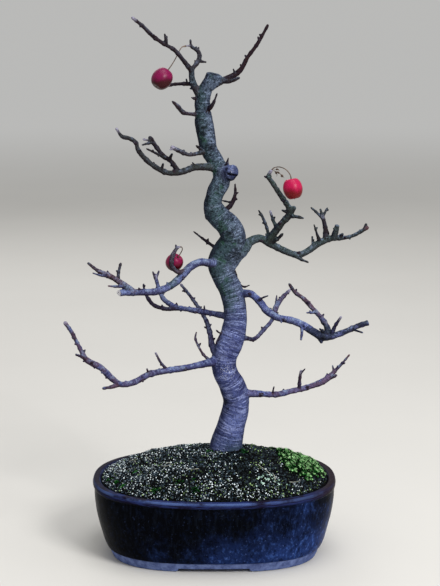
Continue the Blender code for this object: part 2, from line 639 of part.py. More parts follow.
def build_soil():
    """Potting mix: fills the pot, with a granular mound on top and a plain hole for the trunk."""
    rings = [(inset + SOIL_CLEARANCE, height) for inset, height in INNER_SECTION[:-1]]
    rings[0] = (rings[0][0], SOIL_EDGE_HEIGHT)
    (low_inset, low_height), (floor_inset, floor_height) = INNER_SECTION[-2:]
    down = (low_height - SOIL_FLOOR_HEIGHT) / (low_height - floor_height)
    rings.append((low_inset + (floor_inset - low_inset) * down + 2.0 * SOIL_CLEARANCE, SOIL_FLOOR_HEIGHT))
    edge_inset = rings[0][0]
    bm = bmesh.new()
    walls = []
    for inset, height in rings:
        walls.append([bm.verts.new(point) for point in oval_ring(inset, height)])
    hole_top = [bm.verts.new(point) for point in foot_ring(SOIL_CLEARANCE, 0.0)]
    for vert in hole_top:
        vert.co.z = soil_height(vert.co.x / MM, vert.co.y / MM, edge_inset) * MM
    hole_floor = [bm.verts.new(point) for point in foot_ring(SOIL_CLEARANCE, FOOT_DEPTH_HEIGHT - GAP)]
    grains = []
    for x, y, lift in grain_places(edge_inset):
        grains.append(bm.verts.new(Vector((x, y, soil_height(x, y, edge_inset) + lift)) * MM))
    top = walls[0] + hole_top + grains
    sides = [(i, (i + 1) % POT_SIDES) for i in range(POT_SIDES)]
    hole_sides = [(POT_SIDES + i, POT_SIDES + (i + 1) % FOOT_SIDES) for i in range(FOOT_SIDES)]
    flat = [vert.co.xy / MM for vert in top]
    triangles = delaunay_2d_cdt(flat, sides + hole_sides, [], 0, 1e-6)[2]
    hole = set(range(POT_SIDES, POT_SIDES + FOOT_SIDES))
    for triangle in triangles:
        if not hole.issuperset(triangle):
            bm.faces.new([top[i] for i in triangle])
    for upper, lower in list(zip(walls, walls[1:])) + [(hole_top, hole_floor)]:
        for i in range(len(upper)):
            j = (i + 1) % len(upper)
            bm.faces.new((upper[i], upper[j], lower[j], lower[i]))
    bm.faces.new(walls[-1])
    bm.faces.new(hole_floor)
    add_object("soil", mesh_from(bm, "soil"), potting_mix(), 30.0)


def smooth_route(stations, step, growth):
    """Points along a smooth curve through the stations, with the thickness carried along as w."""
    marks = [Vector(station) for station in stations]
    along = [0.0]
    for here, there in zip(marks, marks[1:]):
        along.append(along[-1] + (there.xyz - here.xyz).length)
    last = len(marks) - 1
    slopes = []
    for i in range(last + 1):
        before = max(i - 1, 0)
        after = min(i + 1, last)
        slopes.append((marks[after] - marks[before]) / (along[after] - along[before]))
    route = [marks[0]]
    for i in range(last):
        span = along[i + 1] - along[i]
        parts = max(1, round(span / (step + growth * marks[i].w)))
        for part in range(1, parts + 1):
            t = part / parts
            route.append(
                marks[i] * (2 * t**3 - 3 * t**2 + 1)
                + slopes[i] * span * (t**3 - 2 * t**2 + t)
                + marks[i + 1] * (3 * t**2 - 2 * t**3)
                + slopes[i + 1] * span * (t**3 - t**2)
            )
    return route


def directions(route):
    """Unit vectors along the route at each of its points."""
    result = []
    for i in range(len(route)):
        before = route[max(i - 1, 0)]
        after = route[min(i + 1, len(route) - 1)]
        result.append((after.xyz - before.xyz).normalized())
    return result


def wood_mesh(name, route, sides, cut_end, lumps, plain_below=0.0):
    """A closed, slightly lumpy round of wood along a route, with a flat or a rounded far end."""
    headings = directions(route)
    side = headings[0].orthogonal().normalized()
    rings = []
    run = 0.0
    for i, point in enumerate(route):
        if i:
            run += (point.xyz - route[i - 1].xyz).length
        heading = headings[i]
        side = (side - heading * side.dot(heading)).normalized()
        other = heading.cross(side)
        ring = []
        for j in range(sides):
            turn = math.tau * j / sides
            outward = side * math.cos(turn) + other * math.sin(turn)
            sample = Vector((route[0].x, route[0].z, run / LUMP_LENGTH)) + outward
            swell = 1.0 if point.z < plain_below else 1.0 + lumps * noise.noise(sample)
            ring.append((point.xyz + outward * point.w / 2.0 * swell) * MM)
        rings.append(ring)
    bm = bmesh.new()
    if cut_end:
        skin_rings(bm, rings)
        return mesh_from(bm, name)
    end = route[-1]
    heading = headings[-1]
    centre = end.xyz * MM
    if end.w > BLUNT_END_THICKNESS:
        reach = heading * end.w * SHOULDER_REACH * MM
        rings.append([centre + (point - centre) * SHOULDER_SHARE + reach for point in rings[-1]])
    skin_rings(bm, rings, centre + heading * end.w * TIP_REACH * MM)
    return mesh_from(bm, name)


def wood_sides(thickness):
    """How many sides wood of a thickness is drawn with."""
    if thickness >= LIMB_THICKNESS:
        return LIMB_SIDES
    if thickness >= TWIG_THICKNESS:
        return TWIG_SIDES
    return SPUR_SIDES


def bud_mesh(name, foot, heading):
    """A small pointed bud whose root is sunk in the wood."""
    bud = [
        Vector((*(foot - heading * BUD_SINK), BUD_THICKNESS * BUD_ROOT_SHARE)),
        Vector((*(foot + heading * BUD_LENGTH * BUD_BELLY_AT), BUD_THICKNESS)),
        Vector((*(foot + heading * BUD_LENGTH), BUD_THICKNESS * BUD_TIP_SHARE)),
    ]
    return wood_mesh(name, bud, BUD_SIDES, True, 0.0)


def buds_along(route, draw):
    """Meshes of the buds on one limb, spaced along it and turning from side to side."""
    headings = directions(route)
    meshes = []
    run = 0.0
    due = BUD_SPACING * draw.uniform(*BUD_FIRST)
    side = 1.0
    for i in range(1, len(route) - 1):
        run += (route[i].xyz - route[i - 1].xyz).length
        if run < due or route[i].w > BUD_THICKEST_WOOD:
            continue
        due = run + BUD_SPACING * draw.uniform(*BUD_NEXT)
        across = headings[i].cross(Vector((0.0, draw.uniform(*BUD_ROLL), 1.0))).normalized()
        upward = across.cross(headings[i]).normalized()
        outward = (across * side + upward * draw.uniform(*BUD_LIFT)).normalized()
        side = -side
        heading = (outward + headings[i] * draw.uniform(*BUD_LEAN)).normalized()
        meshes.append(bud_mesh("bud", route[i].xyz + outward * route[i].w * BUD_SEAT, heading))
    return meshes


def build_tree():
    """The whole tree as one body: trunk, limbs, twigs, spurs and buds grown together."""
    buried = [(*FOOT_CENTRE, height, FOOT_DIAMETER) for height in (FOOT_DEPTH_HEIGHT, BURIED_HEIGHT)]
    route = smooth_route(buried + list(TRUNK), RING_STEP, RING_STEP_GROWTH)
    mesh = wood_mesh("tree", route, TRUNK_SIDES, True, BARK_LUMPS, plain_below=TRUNK[0][2])
    tree = add_object("tree", mesh, bark(), 50.0)
    growth = new_collection("growth")
    draw = random.Random(SEED)
    for group in LIMB_GROUPS:
        for name, stations in group.items():
            route = smooth_route(stations, RING_STEP, RING_STEP_GROWTH)
            thickness = stations[min(1, len(stations) - 1)][3]
            mesh = wood_mesh(name, route, wood_sides(thickness), name in CUT_ENDS, BARK_LUMPS)
            growth.objects.link(bpy.data.objects.new(name, mesh))
            length = sum((b.xyz - a.xyz).length for a, b in zip(route, route[1:]))
            if length > BUD_MINIMUM_RUN:
                for bud in buds_along(route, draw):
                    growth.objects.link(bpy.data.objects.new("bud", bud))
    boolean(tree, "grown together", "UNION", growth)
    merge_seams(tree)


def fruit_section(tallness):
    """Section of a crabapple of diameter 1: distance from the axis and height, from the stalk down.

    The tallness is its height over its width before the dimples at both ends are pressed in.
    """
    section = []
    for step in range(FRUIT_RINGS + 2):
        turn = math.pi * step / (FRUIT_RINGS + 1)
        height = tallness * math.cos(turn)
        height -= STALK_DIMPLE * math.exp(-(turn / STALK_DIMPLE_WIDTH) ** 2)
        height += CALYX_DIMPLE * math.exp(-((math.pi - turn) / CALYX_DIMPLE_WIDTH) ** 2)
        section.append((math.sin(turn) ** FRUIT_FULLNESS / 2.0, height / 2.0))
    return section


def build_fruit(place, fruit):
    """One crabapple and the stalk that it hangs on."""
    middle = Vector(fruit["middle"])
    way = [Vector(point) for point in fruit["way"]]
    upright = (way[-1] - middle).normalized()
    side = upright.orthogonal().normalized()
    other = upright.cross(side)
    section = fruit_section(fruit["tallness"])
    bm = bmesh.new()
    rings = []
    for radius, height in reversed(section[1:-1]):
        ring = []
        for i in range(FRUIT_SIDES):
            turn = math.tau * i / FRUIT_SIDES
            outward = side * math.cos(turn) + other * math.sin(turn)
            ring.append((middle + (outward * radius + upright * height) * fruit["diameter"]) * MM)
        rings.append(ring)
    cavity = middle + upright * section[0][1] * fruit["diameter"]
    skin_rings(bm, rings, cavity * MM)
    add_object("crabapple_" + place, mesh_from(bm, "crabapple_" + place), fruit_skin(), 60.0)
    build_stalk(place, fruit, way, cavity + upright * GAP)


def build_stalk(place, fruit, way, end):
    """Thin stalk from the flat end of its spur to the dimple of its fruit, clubbed at the spur."""
    seat = Vector(fruit["twig"][-1][:3])
    start = seat + (way[0] - seat).normalized() * GAP
    stations = [(*start, STALK_CLUB)]
    stations += [(*point, STALK_THICKNESS) for point in way]
    stations.append((*end, STALK_THICKNESS))
    route = smooth_route(stations, STALK_STEP, 0.0)
    mesh = wood_mesh("stalk_" + place, route, STALK_SIDES, True, 0.0)
    add_object("stalk_" + place, mesh, fruit_stalk())


def main():
    """Builds the pot with its screens and soil, then the tree and its fruit."""
    clear_scene()
    build_pot()
    build_screen("drain_screen_left", -1.0)
    build_screen("drain_screen_right", 1.0)
    build_soil()
    build_tree()
    for place, fruit in FRUITS.items():
        build_fruit(place, fruit)


main()
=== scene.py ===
"""Looks of a crabapple bonsai in winter, bare but for three fruits, in a low oval glazed pot.

Blender's lengths are metres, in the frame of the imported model: X to the right of the tree's front, Y away
from the front and Z up, with the origin on the surface under the middle of the pot. Sizes and places below
are written in millimetres and turned into metres by MM.
"""

import json
import logging
import math
import random
from dataclasses import astuple, dataclass
from enum import Enum
from typing import Callable, Iterable, Sequence

import bmesh
import bpy
import numpy as np
from mathutils import Matrix, Vector, noise
from mathutils.kdtree import KDTree

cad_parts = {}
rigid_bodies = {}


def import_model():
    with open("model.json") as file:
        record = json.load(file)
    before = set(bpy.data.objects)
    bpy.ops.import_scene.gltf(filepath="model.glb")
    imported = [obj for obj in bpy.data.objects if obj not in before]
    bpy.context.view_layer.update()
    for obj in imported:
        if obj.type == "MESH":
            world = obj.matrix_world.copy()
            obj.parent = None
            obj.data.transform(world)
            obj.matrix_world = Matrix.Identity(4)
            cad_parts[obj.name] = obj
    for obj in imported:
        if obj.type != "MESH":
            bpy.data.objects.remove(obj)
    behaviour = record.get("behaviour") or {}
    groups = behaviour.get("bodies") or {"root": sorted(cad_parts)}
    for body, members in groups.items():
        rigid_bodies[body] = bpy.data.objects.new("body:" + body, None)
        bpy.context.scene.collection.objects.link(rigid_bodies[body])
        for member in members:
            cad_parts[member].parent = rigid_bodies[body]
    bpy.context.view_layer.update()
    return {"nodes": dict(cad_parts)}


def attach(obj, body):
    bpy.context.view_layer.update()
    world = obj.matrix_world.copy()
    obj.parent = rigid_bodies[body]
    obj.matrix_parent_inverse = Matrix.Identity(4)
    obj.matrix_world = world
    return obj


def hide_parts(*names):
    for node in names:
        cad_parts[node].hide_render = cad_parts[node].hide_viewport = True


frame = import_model()

MM = 0.001
SEED = 7
Draw = random.Random
BODY = "root"

Colour = tuple[float, float, float]
Pair = tuple[float, float]
Point = tuple[float, float, float]
Station = tuple[float, float, float, float]
Spot = tuple[Point, float, float]
Shape = bmesh.types.BMesh
Mesh = bpy.types.Mesh
Material = bpy.types.Material

log = logging.getLogger("apple_bonsai")


def tone(red: int, green: int, blue: int) -> Colour:
    """Turns a screen colour, 0 to 255 a channel, into the linear one that shaders take."""
    shares = [channel / 255.0 for channel in (red, green, blue)]
    return tuple(s / 12.92 if s <= 0.04045 else ((s + 0.055) / 1.055) ** 2.4 for s in shares)


def ease(value: float, start: float, end: float) -> float:
    """A share that rises smoothly from 0 where a value is at the start to 1 where it is at the end."""
    share = min(max((value - start) / (end - start), 0.0), 1.0)
    return share * share * (3.0 - 2.0 * share)


class Signal:
    """An output of a node. Sums are written on it as on a number."""

    def __init__(self, graph: "Graph", socket: bpy.types.NodeSocket) -> None:
        """Keeps the output and the graph that it belongs to."""
        self.graph = graph
        self.socket = socket

    def __add__(self, other: "Value") -> "Signal":
        """Adds a number or a signal."""
        return self.graph.calc("ADD", self, other)

    def __sub__(self, other: "Value") -> "Signal":
        """Takes a number or a signal away."""
        return self.graph.calc("SUBTRACT", self, other)

    def __rsub__(self, other: float) -> "Signal":
        """Is taken away from a number."""
        return self.graph.calc("SUBTRACT", other, self)

    def __mul__(self, other: "Value") -> "Signal":
        """Multiplies by a number or a signal."""
        return self.graph.calc("MULTIPLY", self, other)

    def span(self, low: float, high: float) -> "Signal":
        """Stretches a range of values to 0 to 1, and cuts off the rest."""
        inputs = {"Value": self, "From Min": low, "From Max": high}
        return self.graph.node("MapRange", "Result", inputs, interpolation_type="SMOOTHSTEP")

    def axis(self, name: str) -> "Signal":
        """One axis of a vector."""
        return self.graph.node("SeparateXYZ", name, {0: self})


Value = Signal | float | Colour


class Graph:
    """The node tree of one material, with short ways to add and join its nodes."""

    def __init__(self, name: str, roughness: float, specular: float = 0.5) -> None:
        """Starts a material with one shader.

        Args:
            name: The material's name.
            roughness: Roughness of the whole surface, until a node sets it.
            specular: Strength of its gloss.
        """
        self.material = bpy.data.materials.new(name)
        self.material.use_nodes = True
        self.nodes = self.material.node_tree.nodes
        self.shader = self.nodes["Principled BSDF"]
        self.put("Roughness", roughness)
        self.put("Specular IOR Level", specular)
        self.here = self.node("TexCoord", "Object")

    def feed(self, socket: bpy.types.NodeSocket, value: Value) -> None:
        """Gives an input a number, a colour, a vector or another node's output.

        Args:
            socket: The input.
            value: What it gets.
        """
        if isinstance(value, Signal):
            self.material.node_tree.links.new(value.socket, socket)
        elif socket.type == "RGBA":
            socket.default_value = (*value, 1.0)
        else:
            socket.default_value = value

    def put(self, socket: str, value: Value) -> None:
        """Gives one of the shader's inputs a value or a node's output."""
        self.feed(self.shader.inputs[socket], value)

    def node(self, kind: str, output: str | int, inputs: dict[str | int, Value] | None = None,
             **settings: str) -> Signal:
        """Adds a node.

        Args:
            kind: Its type, without the ShaderNode before it.
            output: Which of its outputs is wanted.
            inputs: What its inputs get, by name or number.
            settings: Its own settings.

        Returns:
            The output.
        """
        node = self.nodes.new("ShaderNode" + kind)
        for name, setting in settings.items():
            setattr(node, name, setting)
        for name, value in (inputs or {}).items():
            self.feed(node.inputs[name], value)
        return Signal(self, node.outputs[output])

    def attribute(self, name: str, output: str = "Fac") -> Signal:
        """An attribute of the mesh, as a factor or as a vector."""
        return self.node("Attribute", output, attribute_name=name)

    def normal(self, axis: str) -> Signal:
        """One axis of the surface's outward direction."""
        return self.node("NewGeometry", "Normal").axis(axis)

    def place(self, scale: Point, source: str = "") -> Signal:
        """A scaled place, from an attribute of the mesh or else from the object's coordinates."""
        here = self.attribute(source, "Vector") if source else self.here
        return self.node("Mapping", "Vector", {"Vector": here, "Scale": scale})

    def cloud(self, scale: float, detail: float = 3.0, rough: float = 0.5,
              place: Signal | None = None) -> Signal:
        """Fractal noise about 0.5: its frequency, its finer layers, their strength and where it is read."""
        inputs = {"Vector": place or self.here, "Scale": scale, "Detail": detail, "Roughness": rough}
        return self.node("TexNoise", "Fac", inputs)

    def cells(self, scale: float, place: Signal | None = None) -> Signal:
        """Distance to the middle of the nearest of many scattered cells."""
        return self.node("TexVoronoi", "Distance", {"Vector": place or self.here, "Scale": scale})

    def calc(self, operation: str, first: Value, second: Value) -> Signal:
        """One sum on two numbers."""
        return self.node("Math", 0, {0: first, 1: second}, operation=operation)

    def coats(self, colour: Value, *layers: tuple[Value, Value]) -> Signal:
        """Lays colours over one another.

        Args:
            colour: The lowest colour.
            layers: Each colour that is laid over it, and the share of the surface that it takes.

        Returns:
            The colour that shows.
        """
        for tint, share in layers:
            colour = self.node("Mix", 2, {0: share, 6: colour, 7: tint}, data_type="RGBA")
        return colour

    def bump(self, height: Signal, depth: float) -> None:
        """Raises the surface's relief by a height signal, a depth in mm for a whole unit of it."""
        inputs = {"Strength": 1.0, "Distance": depth * MM, "Height": height}
        self.put("Normal", self.node("Bump", "Normal", inputs))


@dataclass(frozen=True)
class BarkFinish:
    """Smooth blue-violet bark: fine pale lines round the wood, dark pores, green algae, brown twigs."""

    deep: Colour = tone(58, 64, 110)
    body: Colour = tone(90, 102, 158)
    line: Colour = tone(160, 172, 224)
    high_deep: Colour = tone(46, 56, 68)
    high_body: Colour = tone(92, 106, 122)
    high_line: Colour = tone(146, 164, 188)
    groove: Colour = tone(24, 24, 44)
    algae: Colour = tone(58, 80, 84)
    green: Colour = tone(42, 80, 50)
    olive: Colour = tone(64, 84, 70)
    twig: Colour = tone(34, 18, 16)
    stained: Colour = tone(20, 26, 24)
    painted_glint: Colour = tone(136, 152, 182)
    dot: Colour = tone(206, 212, 232)
    bud: Colour = tone(50, 38, 46)
    pale: Colour = tone(176, 172, 196)
    red: Colour = tone(92, 48, 54)
    sawn: Colour = tone(232, 230, 238)
    hollow: Colour = tone(8, 8, 14)
    wound: Colour = tone(46, 50, 92)
    aged: Colour = tone(98, 70, 80)

    def make(self) -> Material:
        """Builds the bark's material from the tree's own attributes, layer by layer.

        Returns:
            The material.
        """
        g = Graph("bark", 0.75, 0.03)
        height, across, up = g.here.axis("Z"), g.normal("X"), g.normal("Z")
        girth, knob, brown = g.attribute("girth"), g.attribute("knob"), g.attribute("brown")
        soft = g.cloud(1, 2, 0.5, g.place((0.06, 0.06, 0.26), "grain"))
        lines = g.cloud(1, 2, 0.7, g.place((0.05, 0.05, 0.66), "grain"))
        flecks = g.cloud(1, 2, 0.5, g.place((0.17, 0.17, 1.1), "grain"))
        grit = g.cloud(1, 3, 0.65, g.place((0.9, 0.9, 0.9), "grain"))
        pores = g.cells(1, g.place((0.26, 0.26, 0.5), "grain")).span(0.24, 0.12)
        dots = g.cells(1, g.place((0.62, 0.62, 0.62), "grain")).span(0.36, 0.22)
        salt = g.cloud(430, 2, 0.6)
        spread = g.cloud(34, 5, 0.7)
        stout = girth.span(9, 17) * 0.62 + 0.38
        slim = girth.span(13, 8)
        high = height.span(0.205, 0.315) * 0.88 * (1 - knob * 0.55) * (1 - g.attribute("cool"))
        calm = 1 - high * 0.3
        film = (spread + g.attribute("algae") * 0.36).span(0.66, 0.86) * 0.88
        shown = stout * (1 - film * 0.4) * calm
        speckled = grit.span(0.62, 0.4) * 0.45 + 0.55
        thin = g.calc("MAXIMUM", girth.span(9, 5) * brown, girth.span(4.6, 3) * 0.75)
        lit = g.cloud(170, 3, 0.6).span(0.48, 0.62) * slim * up.span(-0.1, 0.6)
        ragged = (g.cloud(210, 4, 0.75) - 0.5) * 2.6
        line = g.coats(self.line, (self.high_line, high))
        blend = g.cloud(42, 4, 0.6).span(0.34, 0.62)
        lower = g.coats(self.deep, (self.body, blend))
        upper = g.coats(self.high_deep, (self.high_body, blend))
        g.put("Base Color", g.coats(
            lower,
            (upper, high),
            (line, soft.span(0.5, 0.68) * calm * 0.26),
            (self.high_deep, g.cloud(62, 5, 0.65).span(0.5, 0.62) * high * 0.66),
            (line, salt.span(0.55, 0.64) * high * 0.4),
            (self.algae, film),
            (self.green, g.cloud(75, 3, 0.6).span(0.52, 0.64) * film * 0.8),
            (line, lines.span(0.54, 0.66) * shown * 0.68),
            (line, flecks.span(0.59, 0.69) * shown * 0.6),
            (self.groove, lines.span(0.44, 0.32) * stout * calm * 0.62),
            (self.wound, knob * 0.45),
            (self.stained, salt.span(0.46, 0.36) * high * 0.8),
            (self.olive, slim * g.attribute("olive") * speckled),
            (self.algae, height.span(0.124, 0.1) * spread.span(0.6, 0.42) * 0.7),
            (self.hollow, pores * 0.7),
            (self.twig, g.cloud(130, 3, 0.6).span(0.5, 0.64) * slim * 0.28),
            (self.aged, g.cloud(95, 3, 0.6).span(0.34, 0.54) * g.attribute("aged") * slim * 0.9),
            (self.twig, thin * speckled),
            # Painted highlight: pale blue glints on the upward-facing tops of slim wood.
            (self.painted_glint, lit * (0.62 - brown * 0.5)),
            (self.twig, g.attribute("dusk")),
            # Painted shade: the undersides of slim wood are darkened towards the twig colour.
            (self.twig, up.span(0.25, -0.85) * slim * 0.78),
            # Painted shade: bark that faces left is darkened towards the groove colour, more so up the trunk.
            (self.groove, across.span(-0.35, -0.98) * (height.span(0.22, 0.3) * 0.26 + 0.62)),
            # Painted shade: bark that faces right is darkened, a dark edge along that side.
            (self.groove, across.span(0.6, 1) * 0.5),
            (self.bud, g.attribute("bud")),
            (self.stained, (g.attribute("stain") + ragged).span(0.34, 0.86) * 0.8),
            (self.dot, dots * g.attribute("dots")),
            (self.pale, g.attribute("pale")),
            (self.red, g.attribute("red")),
            (self.sawn, g.attribute("sawn")),
            # Scar bowls painted near black: dark wound wood together with painted shade in the hollow.
            (self.hollow, g.attribute("dark")),
            (self.groove, grit.span(0.56, 0.3) * 0.8),
        ))
        g.bump(lines * 0.8 + grit * 0.4 - pores * 0.5, 0.5)
        return g.material


@dataclass(frozen=True)
class GlazeFinish:
    """Nearly black blue glaze that breaks to violet on the lip, over an unglazed grey-violet foot."""

    night: Colour = tone(3, 4, 8)
    streak: Colour = tone(14, 19, 29)
    navy: Colour = tone(32, 51, 103)
    patch: Colour = tone(62, 94, 164)
    speck: Colour = tone(112, 140, 214)
    lip: Colour = tone(34, 44, 88)
    lip_dark: Colour = tone(20, 16, 34)
    crest_break_highlight: Colour = tone(76, 96, 146)
    lip_end: Colour = tone(38, 27, 32)
    clay: Colour = tone(108, 124, 172)
    clay_shade: Colour = tone(70, 82, 126)

    def make(self) -> Material:
        """Builds the pot's material, glazed above the foot and bare below it.

        Returns:
            The material.
        """
        g = Graph("navy_glaze", 0.3, 0.015)
        across, height, up = g.here.axis("X"), g.here.axis("Z"), g.normal("Z")
        clouds = g.cloud(40, 5, 0.62)
        runs = g.cloud(1, 3, 0.6, g.place((330, 330, 70)))
        mottle = g.cloud(260, 4, 0.68, g.place((1, 1, 0.55)))
        veins = g.cloud(1, 3, 0.6, g.place((60, 60, 900)))
        front = g.here.axis("Y").span(-0.02, -0.08)
        # The glaze turns bluer and lighter towards the right end and the foot: its own mottling together with
        # painted reflected light on that side.
        right = across.span(-0.1, 0.1)
        low = height.span(0.06, 0.014) * (right * 0.6 + 0.4)
        blue = (clouds * 0.6 + (low * 0.3 + right * 0.22)).span(0.4, 0.96)
        # The pale line along the lip's rolled crest is thinner glaze together with a painted highlight,
        # strongest at the front and weaker at the right end.
        roll = up.span(0.1, 0.45) * up.span(0.98, 0.8) * height.span(0.0735, 0.0745)
        thin_glaze_and_highlight = clouds.span(0.36, 0.6) * (front * 0.7 + 0.3) * (0.8 - across.span(0.02, 0.11) * 0.5)
        bare = (height + g.cloud(60, 2) * 0.0012).span(0.0108, 0.0102)
        # The lip keeps its lighter violet veins only at the front; towards the back it stays dark, painted
        # shade on the back rim.
        lip = g.coats(self.lip_dark, (self.lip, veins.span(0.42, 0.6) * front),
                      (self.lip_end, across.span(0.085, 0.118) * 0.7))
        clay = g.coats(self.clay_shade, (self.clay, g.cloud(160, 5, 0.6).span(0.3, 0.68)),
                       (self.clay_shade, g.cells(520).span(0.3, 0.1) * 0.35))
        g.put("Base Color", g.coats(
            self.night,
            (self.streak, runs.span(0.46, 0.7) * 0.6),
            (self.navy, blue),
            (self.patch, mottle.span(0.52, 0.66) * (blue * 0.7 + 0.02)),
            (self.night, mottle.span(0.46, 0.34) * 0.65),
            (self.speck, g.cloud(400, 2, 0.55).span(0.62, 0.76) * (blue * 0.5 + 0.05)),
            (lip, height.span(0.0706, 0.0728)),
            # Thinner glaze together with a painted highlight on the lip's crest.
            (self.crest_break_highlight, roll * thin_glaze_and_highlight),
            (clay, bare),
        ))
        g.put("Roughness", g.calc("MAXIMUM", clouds * 0.22 + 0.2, bare * 0.78))
        g.bump(g.cloud(90) + g.cloud(700, 2) * 0.22 - g.cells(300).span(0.16, 0.04) * 0.6, 0.45)
        return g.material


@dataclass(frozen=True)
class GroundFinish:
    """Nearly black fines between the grains of the potting mix: dark soil together with painted shade in the
    gaps.
    """

    dark: Colour = tone(3, 4, 5)
    light: Colour = tone(17, 20, 21)

    def make(self) -> Material:
        """Builds the material of the soil under its grains.

        Returns:
            The material.
        """
        g = Graph("potting_mix", 0.92, 0.05)
        crumbs = g.cloud(900, 4, 0.7)
        g.put("Base Color", g.coats(self.dark, (self.light, crumbs.span(0.4, 0.72))))
        g.bump(crumbs + g.cloud(300), 0.9)
        return g.material


@dataclass(frozen=True)
class GritFinish:
    """Loose grains of one kind, each a little lighter or darker than the next."""

    name: str
    roughness: float
    dark: Colour
    light: Colour

    def make(self) -> Material:
        """Builds the grains' material, which reads each grain's own shade.

        Returns:
            The material.
        """
        g = Graph(self.name, self.roughness, 0.08)
        level = g.attribute("shade") + (g.cloud(1100, 3, 0.6) - 0.5) * 0.7
        g.put("Base Color", g.coats(self.dark, (self.light, level.span(0, 1))))
        g.bump(g.cloud(1600, 2), 0.3)
        return g.material


@dataclass(frozen=True)
class MossFinish:
    """Short moss, bright at the tips of its shoots and dark between them: pale new growth with painted
    highlight at the tips, painted shade in the near-black gaps.
    """

    dark: Colour = tone(5, 12, 8)
    leaf: Colour = tone(28, 112, 38)
    tip: Colour = tone(188, 242, 172)

    def make(self) -> Material:
        """Builds the moss's material, which reads how far up its shoot a point lies.

        Returns:
            The material.
        """
        g = Graph("moss", 0.85, 0.05)
        level = g.attribute("shade") + (g.cloud(200) - 0.5)
        g.put("Base Color", g.coats(self.dark, (self.leaf, level.span(0.14, 0.62)),
                                    (self.tip, level.span(0.66, 1.02))))
        g.bump(g.cloud(1500, 2), 0.3)
        return g.material


@dataclass(frozen=True)
class SkinFinish:
    """Waxy crabapple skin: purple while the fruit is cool and shaded, crimson where it is ripe."""

    shaded_low: Colour = tone(40, 0, 8)
    shaded_high: Colour = tone(102, 4, 62)
    ripe_low: Colour = tone(102, 0, 10)
    ripe_high: Colour = tone(170, 14, 68)
    dark: Colour = tone(30, 4, 12)

    def make(self) -> Material:
        """Builds the fruits' material, which reads each fruit's ripeness and its lighter upper side, sun
        blush and painted light together.

        Returns:
            The material.
        """
        g = Graph("crabapple_skin", 0.26, 0.2)
        ripe = g.attribute("ripe")
        blush = g.cloud(90, 4, 0.6)
        streaks = g.cloud(1, 3, 0.6, g.place((1000, 1000, 150)))
        # Upper right of each fruit lighter, lower left darker: sun blush together with painted light and
        # shade.
        blush_and_lit = (g.attribute("sun") + (blush - 0.5)).span(0.15, 0.85)
        g.put("Base Color", g.coats(
            g.coats(self.shaded_low, (self.ripe_low, ripe)),
            (g.coats(self.shaded_high, (self.ripe_high, ripe)), blush_and_lit),
            (self.dark, streaks.span(0.5, 0.75) * 0.25),
            # Darker in the dimples: the calyx scar below, painted shade in the stalk's hollow above.
            (self.dark, g.attribute("shade") * 0.85),
        ))
        g.put("Roughness", blush * 0.24 + 0.24)
        g.bump(g.cloud(260), 0.12)
        return g.material


@dataclass(frozen=True)
class DryFinish:
    """Dead, dry plant matter: stalks, calyx leaves, shreds and strands."""

    name: str
    dark: Colour
    light: Colour

    def make(self) -> Material:
        """Builds the material of a dry piece.

        Returns:
            The material.
        """
        g = Graph(self.name, 0.7)
        fibres = g.cloud(1, 3, 0.6, g.place((1400, 1400, 300)))
        level = fibres + (g.cloud(180) - 0.5) * 0.8
        g.put("Base Color", g.coats(self.dark, (self.light, level.span(0.3, 0.72))))
        g.bump(fibres, 0.2)
        return g.material


@dataclass(frozen=True)
class NetFinish:
    """Dark moulded plastic of the nets over the drain holes."""

    plastic: Colour = tone(30, 34, 30)
    dust: Colour = tone(78, 74, 64)

    def make(self) -> Material:
        """Builds the nets' material, a little dusty in patches.

        Returns:
            The material.
        """
        g = Graph("screen_plastic", 0.55)
        g.put("Base Color", g.coats(self.plastic, (self.dust, g.cloud(220, 4).span(0.5, 0.75) * 0.7)))
        g.bump(g.cloud(1200, 2), 0.1)
        return g.material


@dataclass(frozen=True)
class FloorFinish:
    """Plain pale studio floor that fades into the sky well away from the pot."""

    pale: Colour = tone(212, 210, 206)
    shade: Colour = tone(206, 204, 200)
    unlit: Colour = (0.0, 0.0, 0.0)
    fade: Pair = (1.6, 6)

    def make(self, sky: Colour, strength: float) -> Material:
        """Builds the floor's material.

        Args:
            sky: Colour of the sky that it fades into.
            strength: The sky's strength.

        Returns:
            The material.
        """
        g = Graph("studio_floor", 0.85, 0)
        far = g.node("VectorMath", "Value", {0: g.here}, operation="LENGTH").span(*self.fade)
        g.put("Base Color", g.coats(self.pale, (self.shade, g.cloud(3)), (self.unlit, far)))
        g.put("Emission Color", sky)
        g.put("Emission Strength", far * strength)
        return g.material


def loft(rings: Sequence[Sequence[Vector]]) -> Shape:
    """Extrudes a capped ring of points from one place to the next, and closes both ends.

    Args:
        rings: The rings in metres, all with the same number of points.

    Returns:
        The closed shape, with its faces pointing out.
    """
    bm = bmesh.new()
    bmesh.ops.create_circle(bm, cap_ends=True, segments=len(rings[0]), radius=1)
    face = next(iter(bm.faces))
    start = list(face.verts)
    for vert, point in zip(start, rings[0]):
        vert.co = point
    for ring in rings[1:]:
        face = bmesh.ops.extrude_discrete_faces(bm, faces=[face])["faces"][0]
        for vert, point in zip(face.verts, ring):
            vert.co = point
    ends = [edge for edge in bm.edges if edge.is_boundary]
    bmesh.ops.holes_fill(bm, edges=ends, sides=0)
    bmesh.ops.recalc_face_normals(bm, faces=bm.faces)
    return bm


def joined(shapes: Iterable[Shape], name: str) -> Mesh:
    """Puts several shapes in one mesh, and frees them.

    Args:
        shapes: The shapes.
        name: The mesh's name.

    Returns:
        One mesh that holds them all.
    """
    whole = bmesh.new()
    for shape in shapes:
        part = bpy.data.meshes.new("part")
        shape.to_mesh(part)
        shape.free()
        whole.from_mesh(part)
        bpy.data.meshes.remove(part)
    mesh = bpy.data.meshes.new(name)
    whole.to_mesh(mesh)
    whole.free()
    return mesh


